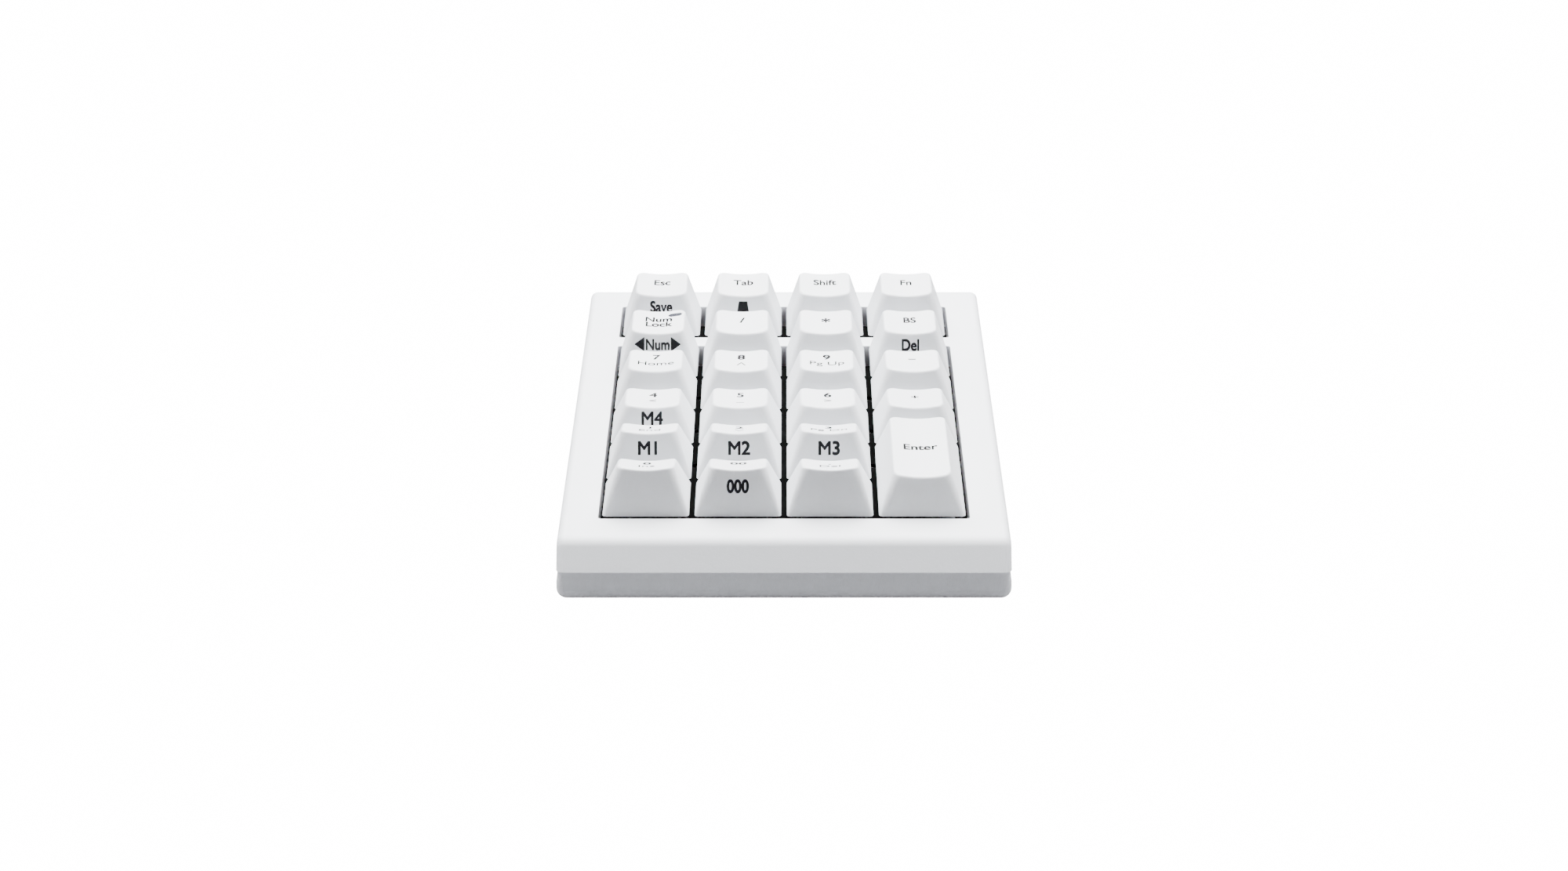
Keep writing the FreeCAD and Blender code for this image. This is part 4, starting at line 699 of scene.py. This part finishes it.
    def print_legend(self, legend: Legend) -> bpy.types.Mesh:
        """Make one legend as a thin raised print that follows the cap's face.

        Args:
            legend: what to print and where.

        Returns:
            The mesh, in the keypad's frame.
        """
        curve = bpy.data.curves.new("legend_type", "FONT")
        curve.body = legend.text
        curve.align_x, curve.align_y = "CENTER", "CENTER"
        curve.size = legend.height / MM
        curve.extrude = self.ink_height / MM
        curve.resolution_u = 5
        curve.space_line = legend.line_pitch
        holder = shown("legend_type", curve)
        bpy.context.view_layer.update()
        mesh = bpy.data.meshes.new_from_object(holder.evaluated_get(bpy.context.evaluated_depsgraph_get()))
        bpy.data.objects.remove(holder)
        bpy.data.curves.remove(curve)
        grid = bmesh.new()
        grid.from_mesh(mesh)
        bmesh.ops.remove_doubles(grid, verts=grid.verts, dist=self.type_weld)
        bmesh.ops.recalc_face_normals(grid, faces=grid.faces)
        grid.normal_update()
        for vert in grid.verts:
            outward = Vector((vert.normal.x, vert.normal.y, 0.0))
            vert.co = vert.co * MM + outward.normalized() * legend.weight
            vert.co.x *= legend.width * (1.0 - legend.flare * vert.co.y / MM)
        reach = max((abs(vert.co.x) for vert in grid.verts), default=0.0)
        steps = int(reach / self.ink_strip) + 1
        for step in range(-steps, steps + 1):
            bmesh.ops.bisect_plane(
                grid, geom=grid.verts[:] + grid.edges[:] + grid.faces[:],
                plane_co=(step * self.ink_strip, 0.0, 0.0), plane_no=(1.0, 0.0, 0.0))
        place = DECK.matrix(self.x, self.u)
        for vert in grid.verts:
            vert.co = place @ self.spot(legend, vert.co)
        bmesh.ops.recalc_face_normals(grid, faces=grid.faces)
        grid.to_mesh(mesh)
        grid.free()
        return mesh

    def spot(self, legend: Legend, point: Vector) -> Vector:
        """Where a flat point of a legend lies on its face.

        Args:
            legend: the legend.
            point: a point of the flat type.

        Returns:
            The point in the cap's frame.
        """
        across, along = point.x, legend.along + point.y
        if legend.face is Face.TOP:
            return self.on_top(across, self.top_length / 2 + along, point.z)
        wall = Vector((0.0, self.shape.front_inset, self.front))
        up = wall.normalized()
        outward = Vector((0.0, -up.z, up.y))
        foot = Vector((0.0, -self.length / 2, 0.0))
        return foot + up * (wall.length / 2 + along) + outward * point.z + Vector((across, 0.0, 0.0))

    def build(self) -> None:
        """Build the cap and its legends and attach them to the key's body."""
        body = f"key_{self.name}"
        cap = shown(f"cap_{self.name}", self.mesh())
        if self.name == "num_lock":
            Window(self).cut(cap)
        dress(cap, CAP_WHITE)
        finish_piece(cap, body, "cap_white", f"keycap_{self.name}")
        grid = bmesh.new()
        for legend in self.legends:
            mesh = self.print_legend(legend)
            grid.from_mesh(mesh)
            bpy.data.meshes.remove(mesh)
        printed = bpy.data.meshes.new(f"legend_{self.name}")
        grid.to_mesh(printed)
        grid.free()
        piece = shown(f"legend_{self.name}", printed)
        dress(piece, INK)
        finish_piece(piece, body, "housing_black")


@dataclass
class Window:
    """The oval hole for the lamp's lens in the Num Lock cap."""

    cap: Cap
    length: float = 3.2 * MM
    width: float = 1.8 * MM
    across: float = 3.7 * MM
    along: float = 4.4 * MM
    low: float = 5.0 * MM
    high: float = 20.0 * MM
    steps: int = 16

    def cut(self, piece: bpy.types.Object) -> None:
        """Cut the hole through the cap's top.

        Args:
            piece: the cap's object, whose mesh is replaced.
        """
        grid = bmesh.new()
        place = DECK.matrix(self.cap.x, self.cap.u)
        rings = []
        reach = (self.length - self.width) / 2
        for height in (self.low, self.high):
            ring = []
            for side, start in ((1, -90), (-1, 90)):
                for step in range(self.steps + 1):
                    angle = math.radians(start + 180 * step / self.steps)
                    ring.append(grid.verts.new(place @ Vector((
                        self.across + side * reach + self.width / 2 * math.cos(angle),
                        self.along + self.width / 2 * math.sin(angle), height))))
            rings.append(ring)
        for index in range(len(rings[0])):
            after = (index + 1) % len(rings[0])
            grid.faces.new((rings[0][index], rings[0][after], rings[1][after], rings[1][index]))
        grid.faces.new(reversed(rings[0]))
        grid.faces.new(rings[1])
        bmesh.ops.recalc_face_normals(grid, faces=grid.faces)
        mesh = bpy.data.meshes.new("window_cutter")
        grid.to_mesh(mesh)
        grid.free()
        cutter = shown("window_cutter", mesh)
        cut = piece.modifiers.new("window", "BOOLEAN")
        cut.operation, cut.object, cut.solver = "DIFFERENCE", cutter, "EXACT"
        bpy.context.view_layer.update()
        result = bpy.data.meshes.new_from_object(piece.evaluated_get(bpy.context.evaluated_depsgraph_get()))
        piece.modifiers.clear()
        piece.data = result
        bpy.data.objects.remove(cutter)


WORD, SIGN = 4.2 * MM, 4.0 * MM
SMALL, LARGE = 3.3 * MM, 4.2 * MM
UPPER, LOWER = 2.3 * MM, -1.9 * MM
BOLD = 0.11 * MM
DIGIT_WIDTH = 0.84


def digit(text: str, below: str) -> list[Legend]:
    """A digit with a smaller second legend below it.

    Args:
        text: the digit.
        below: the second legend.

    Returns:
        The legends of one cap's top.
    """
    return [
        Legend(text, LARGE, UPPER, width=DIGIT_WIDTH, weight=BOLD),
        Legend(below, SMALL, LOWER, width=1.0),
    ]


def word(text: str, along: float = 0.9 * MM) -> Legend:
    """A tall, narrow word on a cap's top."""
    return Legend(text, WORD, along, width=0.72, weight=BOLD)


def front_mark(text: str, height: float = 3.6 * MM, along: float = 0.4 * MM, width: float = 0.8,
               weight: float = 1.3 * BOLD) -> Legend:
    """A bold, narrow legend on a cap's front wall."""
    return Legend(text, height, along, width=width, face=Face.FRONT, weight=weight)


LEGENDS: dict[str, list[Legend]] = {
    "esc": [word("Esc"), front_mark("Save", along=1.6 * MM)],
    "tab": [word("Tab"),
            Legend("■", 4.4 * MM, 1.1 * MM, width=0.8, face=Face.FRONT, flare=0.13)],
    "shift": [word("Shift")],
    "fn": [word("Fn")],
    "num_lock": [Legend("Num\nLock", 3.6 * MM, -0.2 * MM, width=0.86, weight=BOLD),
                 front_mark("◀Num▶", 3.4 * MM, 1.9 * MM)],
    "divide": [Legend("/", SIGN, 0.9 * MM, width=1.0, weight=BOLD)],
    "multiply": [Legend("*", 5.2 * MM, 0.0, width=0.9, weight=BOLD)],
    "backspace": [word("BS"), front_mark("Del", along=1.8 * MM)],
    "7": digit("7", "Home"),
    "8": digit("8", "∧"),
    "9": digit("9", "Pg Up"),
    "minus": [Legend("−", SIGN, 0.9 * MM, width=0.8, weight=BOLD)],
    "4": [*digit("4", "<"), front_mark("M4", 4.0 * MM, 1.0 * MM, 0.95)],
    "5": digit("5", "_"),
    "6": digit("6", ">"),
    "plus": [Legend("+", SIGN, 0.9 * MM, width=0.8, weight=BOLD)],
    "1": [*digit("1", "End"), front_mark("M1", 4.0 * MM, 1.2 * MM, 0.95)],
    "2": [*digit("2", "∨"), front_mark("M2", 4.0 * MM, 1.2 * MM, 0.95)],
    "3": [*digit("3", "Pg Dn"), front_mark("M3", 4.0 * MM, 1.2 * MM, 0.95)],
    "0": digit("0", "Ins"),
    "00": [Legend("00", LARGE, UPPER, width=DIGIT_WIDTH, weight=BOLD), front_mark("000", 3.8 * MM, 0.9 * MM)],
    "decimal": digit(".", "Del"),
    "enter": [Legend("Enter", 4.1 * MM, -0.5 * MM, width=0.8, weight=BOLD)],
}


@dataclass
class KeyField:
    """All the caps, laid out in the main well and in the top well."""

    main_rows: tuple[tuple[Profile, tuple[str, ...]], ...] = (
        (Profile.LOW, ("0", "00", "decimal")),
        (Profile.LOW, ("1", "2", "3")),
        (Profile.FOUR, ("4", "5", "6", "plus")),
        (Profile.SEVEN, ("7", "8", "9", "minus")),
        (Profile.SECOND, ("num_lock", "divide", "multiply", "backspace")),
    )
    top_row: tuple[str, ...] = ("esc", "tab", "shift", "fn")

    def caps(self) -> Iterable[Cap]:
        """Every cap in its place."""
        for row, (profile, names) in enumerate(self.main_rows):
            for column, name in enumerate(names):
                yield Cap(name, profile, DECK.column_x(column), DECK.row_u(row), LEGENDS[name])
        for column, name in enumerate(self.top_row):
            yield Cap(name, Profile.TOP, DECK.column_x(column), DECK.top_row_u, LEGENDS[name])
        yield Cap("enter", Profile.ENTER, DECK.column_x(DECK.columns - 1), DECK.enter_u, LEGENDS["enter"],
                  length=CapShape.base + DECK.pitch)

    def build(self) -> None:
        """Build every cap."""
        for cap in self.caps():
            cap.build()


# ---------------------------------------------------------------- shells
@dataclass
class Shell:
    """A case shell: a clean, softly edged copy of its CAD node."""

    node: str
    soften: float = 0.16 * MM
    segments: int = 2
    crease: float = math.radians(28)
    weld: float = 1e-6
    level: float = math.radians(0.4)
    bevel_from: float = math.radians(35)

    def build(self) -> None:
        """Copy, merge and soften the node's mesh, and let the copy stand for it."""
        grid = bmesh.new()
        grid.from_mesh(frame["nodes"][self.node].data)
        bmesh.ops.remove_doubles(grid, verts=grid.verts, dist=self.weld)
        bmesh.ops.dissolve_limit(grid, angle_limit=self.level, verts=grid.verts, edges=grid.edges)
        mesh = bpy.data.meshes.new(f"shell_{self.node}")
        grid.to_mesh(mesh)
        grid.free()
        mesh.materials.clear()
        mesh.polygons.foreach_set("use_smooth", [True] * len(mesh.polygons))
        mesh.set_sharp_from_angle(angle=self.crease)
        piece = shown(f"shell_{self.node}", mesh)
        edge = piece.modifiers.new("soft_edges", "BEVEL")
        edge.width, edge.segments = self.soften, self.segments
        edge.limit_method, edge.angle_limit = "ANGLE", self.bevel_from
        edge.harden_normals = False
        weighted = piece.modifiers.new("even_normals", "WEIGHTED_NORMAL")
        weighted.keep_sharp = True
        dress(piece, CASE_WHITE)
        finish_piece(piece, "case", "case_white", self.node)


def dress_nodes() -> None:
    """Give the CAD nodes that stay in view their finishes."""
    for name, node in frame["nodes"].items():
        finish = NODE_FINISHES.get(name, SLIDER_BLACK if name.startswith("plunger_") else None)
        if finish:
            dress(node, finish)


# ---------------------------------------------------------------- what repeats
SPRING_LOW, SPRING_HIGH = -8.65 * MM, -4.1 * MM
CHIP_ROW = 2.9
CHIP_HALF = 5.0 * MM
CHIP_LEADS = 11
CHIP_LEAD_PITCH = 0.8 * MM
CHIP_LEAD_LEVEL = -10.6 * MM


class Pattern:
    """A geometry node tree with named inputs, used once on the points of a mesh."""

    def __init__(self, name: str, sizes: dict[str, float]) -> None:
        """Start the tree.

        Args:
            name: the tree's name.
            sizes: the tree's inputs and their values.
        """
        self.group = bpy.data.node_groups.new(name, "GeometryNodeTree")
        self.sizes = sizes
        self.group.interface.new_socket("Geometry", in_out="OUTPUT", socket_type="NodeSocketGeometry")
        self.group.interface.new_socket("Geometry", in_out="INPUT", socket_type="NodeSocketGeometry")
        for label in sizes:
            self.group.interface.new_socket(label, in_out="INPUT", socket_type="NodeSocketFloat")
        self.group.interface.new_socket("Material", in_out="INPUT", socket_type="NodeSocketMaterial")
        self.tree = Tree(self.group)
        self.given = self.tree.node("NodeGroupInput").outputs

    def bar(self, size: Sequence[object], spot: Sequence[object]) -> bpy.types.NodeSocket:
        """A square bar whose size and place are sockets or numbers.

        Args:
            size: its size along each axis.
            spot: the place of its middle.

        Returns:
            The bar's geometry.
        """
        cube = self.tree.node("GeometryNodeMeshCube")
        moved = self.tree.node("GeometryNodeTransform")
        for values, target in ((size, cube.inputs["Size"]), (spot, moved.inputs["Translation"])):
            vector = self.tree.node("ShaderNodeCombineXYZ")
            for index, value in enumerate(values):
                if isinstance(value, bpy.types.NodeSocket):
                    self.tree.link(value, vector.inputs[index])
                else:
                    vector.inputs[index].default_value = value
            self.tree.link(vector.outputs["Vector"], target)
        self.tree.link(cube.outputs["Mesh"], moved.inputs["Geometry"])
        return moved.outputs["Geometry"]

    def close(self, unit: bpy.types.NodeSocket, turn: bpy.types.NodeSocket | None = None) -> None:
        """Stand a unit on every point, make the copies real and give them the material.

        Args:
            unit: the geometry that repeats.
            turn: the copies' turn, where they have one.
        """
        tree = self.tree
        copies = tree.node("GeometryNodeInstanceOnPoints")
        real = tree.node("GeometryNodeRealizeInstances")
        painted = tree.node("GeometryNodeSetMaterial")
        tree.link(self.given["Geometry"], copies.inputs["Points"])
        tree.link(unit, copies.inputs["Instance"])
        if turn:
            tree.link(turn, copies.inputs["Rotation"])
        tree.link(copies.outputs["Instances"], real.inputs["Geometry"])
        tree.link(real.outputs["Geometry"], painted.inputs["Geometry"])
        tree.link(self.given["Material"], painted.inputs["Material"])
        tree.link(painted.outputs["Geometry"], tree.node("NodeGroupOutput").inputs["Geometry"])

    def grow(self, name: str, points: bpy.types.Mesh, finish: Finish) -> bpy.types.Object:
        """Run the tree on points and keep the result as a plain mesh.

        Args:
            name: the new piece's name.
            points: where the units stand, in the deck frame.
            finish: the piece's surface.

        Returns:
            The piece, in the keypad's frame.
        """
        holder = shown(f"{name}_points", points)
        modifier = holder.modifiers.new(name, "NODES")
        modifier.node_group = self.group
        values = {**self.sizes, "Material": finish.material()}
        for item in self.group.interface.items_tree:
            if item.in_out == "INPUT" and item.name in values:
                modifier[item.identifier] = values[item.name]
        bpy.context.view_layer.update()
        mesh = bpy.data.meshes.new_from_object(holder.evaluated_get(bpy.context.evaluated_depsgraph_get()))
        holder.modifiers.remove(modifier)
        bpy.data.objects.remove(holder)
        mesh.transform(DECK.matrix())
        return shown(name, mesh)


def spots_mesh(spots: Iterable[tuple[float, float, float]], turns: Sequence[float] = ()) -> bpy.types.Mesh:
    """A mesh of loose points.

    Args:
        spots: the points, in the deck frame.
        turns: each point's turn about the deck's normal, kept as an attribute.

    Returns:
        The mesh.
    """
    mesh = bpy.data.meshes.new("spots")
    mesh.from_pydata(list(spots), [], [])
    if turns:
        mesh.attributes.new("turn", "FLOAT", "POINT").data.foreach_set("value", turns)
    return mesh


def build_springs(caps: Iterable[Cap]) -> None:
    """The conical springs on the board: one coil each, wound by a spiral.

    Args:
        caps: the caps, which stand over the springs.
    """
    pattern = Pattern("cone_spring", {
        "Foot Radius": 3.6 * MM, "Crown Radius": 1.5 * MM, "Height": SPRING_HIGH - SPRING_LOW,
        "Turns": 4.0, "Wire Radius": 0.15 * MM})
    tree, given = pattern.tree, pattern.given
    coil = tree.node("GeometryNodeCurveSpiral", in_Resolution=20)
    wire = tree.node("GeometryNodeCurvePrimitiveCircle", in_Resolution=8)
    swept = tree.node("GeometryNodeCurveToMesh", in_Fill_Caps=True)
    for label, socket in (("Foot Radius", "Start Radius"), ("Crown Radius", "End Radius"),
                          ("Height", "Height"), ("Turns", "Rotations")):
        tree.link(given[label], coil.inputs[socket])
    tree.link(given["Wire Radius"], wire.inputs["Radius"])
    tree.link(coil.outputs["Curve"], swept.inputs["Curve"])
    tree.link(wire.outputs["Curve"], swept.inputs["Profile Curve"])
    pattern.close(swept.outputs["Mesh"])
    spots = spots_mesh((cap.x, cap.u, SPRING_LOW) for cap in caps)
    springs = pattern.grow("key_springs", spots, SPRING_STEEL)
    finish_piece(springs, "case", "spring_steel", "cone_springs")


def build_chip_leads() -> None:
    """The gull-wing leads along the four sides of the controller chip, under the board."""
    pattern = Pattern("chip_leads", {"Width": 0.35 * MM, "Thickness": 0.15 * MM, "Length": 1.2 * MM,
                                     "Drop": 0.52 * MM})
    tree, given = pattern.tree, pattern.given
    half = tree.math("MULTIPLY", given["Length"], 0.5)
    quarter = tree.math("MULTIPLY", given["Length"], 0.25)
    web = tree.math("ADD", given["Drop"], given["Thickness"])
    joined = tree.node("GeometryNodeJoinGeometry")
    level_bar = (given["Width"], half, given["Thickness"])
    web_bar = (given["Width"], given["Thickness"], web)
    for size, spot in (
            (level_bar, (0.0, quarter, 0.0)),
            (web_bar, (0.0, half, tree.math("MULTIPLY", given["Drop"], 0.5))),
            (level_bar, (0.0, tree.math("ADD", half, quarter), given["Drop"]))):
        tree.link(pattern.bar(size, spot), joined.inputs["Geometry"])
    turned = tree.node("GeometryNodeInputNamedAttribute", data_type="FLOAT", in_Name="turn")
    about = tree.node("ShaderNodeCombineXYZ")
    tree.link(turned.outputs["Attribute"], about.inputs["Z"])
    pattern.close(joined.outputs["Geometry"], about.outputs["Vector"])
    spots, turns = [], []
    for side in range(4):
        turn = Matrix.Rotation(side * math.pi / 2, 4, "Z")
        for step in range(CHIP_LEADS):
            along = (step - (CHIP_LEADS - 1) / 2) * CHIP_LEAD_PITCH
            spot = turn @ Vector((along, CHIP_HALF, 0.0))
            spots.append((spot.x, spot.y + DECK.row_u(CHIP_ROW), CHIP_LEAD_LEVEL))
            turns.append(side * math.pi / 2)
    leads = pattern.grow("chip_leads", spots_mesh(spots, turns), SPRING_STEEL)
    finish_piece(leads, "case", "spring_steel")


# ---------------------------------------------------------------- studio
@dataclass
class Studio:
    """The floor, the lights, the sky and the camera."""

    focal: float = 80.2
    down: float = math.radians(16.2)
    distance: float = 719.8 * MM
    rise: float = 17.12 * MM
    floor_half: float = 6.0
    floor_colour: Colour = (0.2, 0.2, 0.21)
    floor_roughness: float = 0.9
    backdrop: float = 16.0
    sky: float = 0.15
    sky_colour: Colour = (0.95, 0.97, 1.0)
    aim_height: float = 20.0 * MM
    sensor: float = 36.0

    def build(self) -> None:
        """Set up floor, lights, sky and camera."""
        self.build_floor()
        self.build_lights()
        self.build_camera()

    def build_floor(self) -> None:
        """A wide floor, grey to the light and white to the camera."""
        grid = bmesh.new()
        half = self.floor_half
        corners = [grid.verts.new((x * half, y * half, 0.0)) for x, y in ((-1, -1), (1, -1), (1, 1), (-1, 1))]
        grid.faces.new(corners)
        mesh = bpy.data.meshes.new("floor")
        grid.to_mesh(mesh)
        grid.free()
        floor = shown("floor", mesh)
        material = bpy.data.materials.new("floor_paper")
        material.use_nodes = True
        tree = Tree(material.node_tree)
        paper = material.node_tree.nodes["Principled BSDF"]
        paper.inputs["Base Color"].default_value = (*self.floor_colour, 1.0)
        paper.inputs["Roughness"].default_value = self.floor_roughness
        glow = tree.node("ShaderNodeEmission", in_Strength=self.backdrop)
        ray = tree.node("ShaderNodeLightPath")
        either = tree.node("ShaderNodeMixShader")
        tree.link(ray.outputs["Is Camera Ray"], either.inputs["Fac"])
        tree.link(paper.outputs["BSDF"], either.inputs[1])
        tree.link(glow.outputs["Emission"], either.inputs[2])
        tree.link(either.outputs["Shader"], material.node_tree.nodes["Material Output"].inputs["Surface"])
        mesh.materials.append(material)

    def build_lights(self) -> None:
        """A broad panel overhead and behind, one at each side, and an even sky, white to the camera."""
        world = bpy.data.worlds.new("sky")
        bpy.context.scene.world = world
        world.use_nodes = True
        tree = Tree(world.node_tree)
        background = world.node_tree.nodes["Background"]
        background.inputs["Color"].default_value = (*self.sky_colour, 1.0)
        ray = tree.node("ShaderNodeLightPath")
        shown_as = tree.math("MULTIPLY", ray.outputs["Is Camera Ray"], self.backdrop)
        tree.link(tree.math("ADD", shown_as, self.sky), background.inputs["Strength"])
        self.panel("overhead", place=(0.0, 0.3, 0.8), size=0.9, power=74.0)
        self.panel("left", place=(-0.95, 0.2, 0.5), size=0.6, power=7.0)
        self.panel("right", place=(0.95, 0.2, 0.5), size=0.6, power=6.0)

    def panel(self, name: str, place: tuple[float, float, float], size: float, power: float) -> None:
        """A square area light that faces the keypad."""
        data = bpy.data.lights.new(name, "AREA")
        data.size = size
        data.energy = power
        light = bpy.data.objects.new(name, data)
        bpy.context.scene.collection.objects.link(light)
        light.location = place
        aim = Vector((0.0, 0.0, self.aim_height)) - Vector(place)
        light.rotation_euler = aim.to_track_quat("-Z", "Y").to_euler()

    def build_camera(self) -> None:
        """The camera: level in roll, looking along +Y and down."""
        ahead = Vector((0.0, math.cos(self.down), -math.sin(self.down)))
        upward = Vector((0.0, math.sin(self.down), math.cos(self.down)))
        data = bpy.data.cameras.new("view")
        data.lens = self.focal
        data.sensor_width = self.sensor
        data.clip_start = 0.01
        camera = bpy.data.objects.new("view", data)
        bpy.context.scene.collection.objects.link(camera)
        camera.location = DECK.matrix().translation - ahead * self.distance + upward * self.rise
        camera.rotation_euler = ahead.to_track_quat("-Z", "Y").to_euler()
        bpy.context.scene.camera = camera


def main() -> None:
    """Build the studio and every piece of the keypad."""
    build_grain_group()
    build_tone_group()
    build_scuff_group()
    Studio().build()
    dress_nodes()
    keys = KeyField()
    keys.build()
    build_springs(keys.caps())
    build_chip_leads()
    for node in ("upper_case", "lower_case"):
        Shell(node).build()


if __name__ == "__main__":
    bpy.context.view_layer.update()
    main()
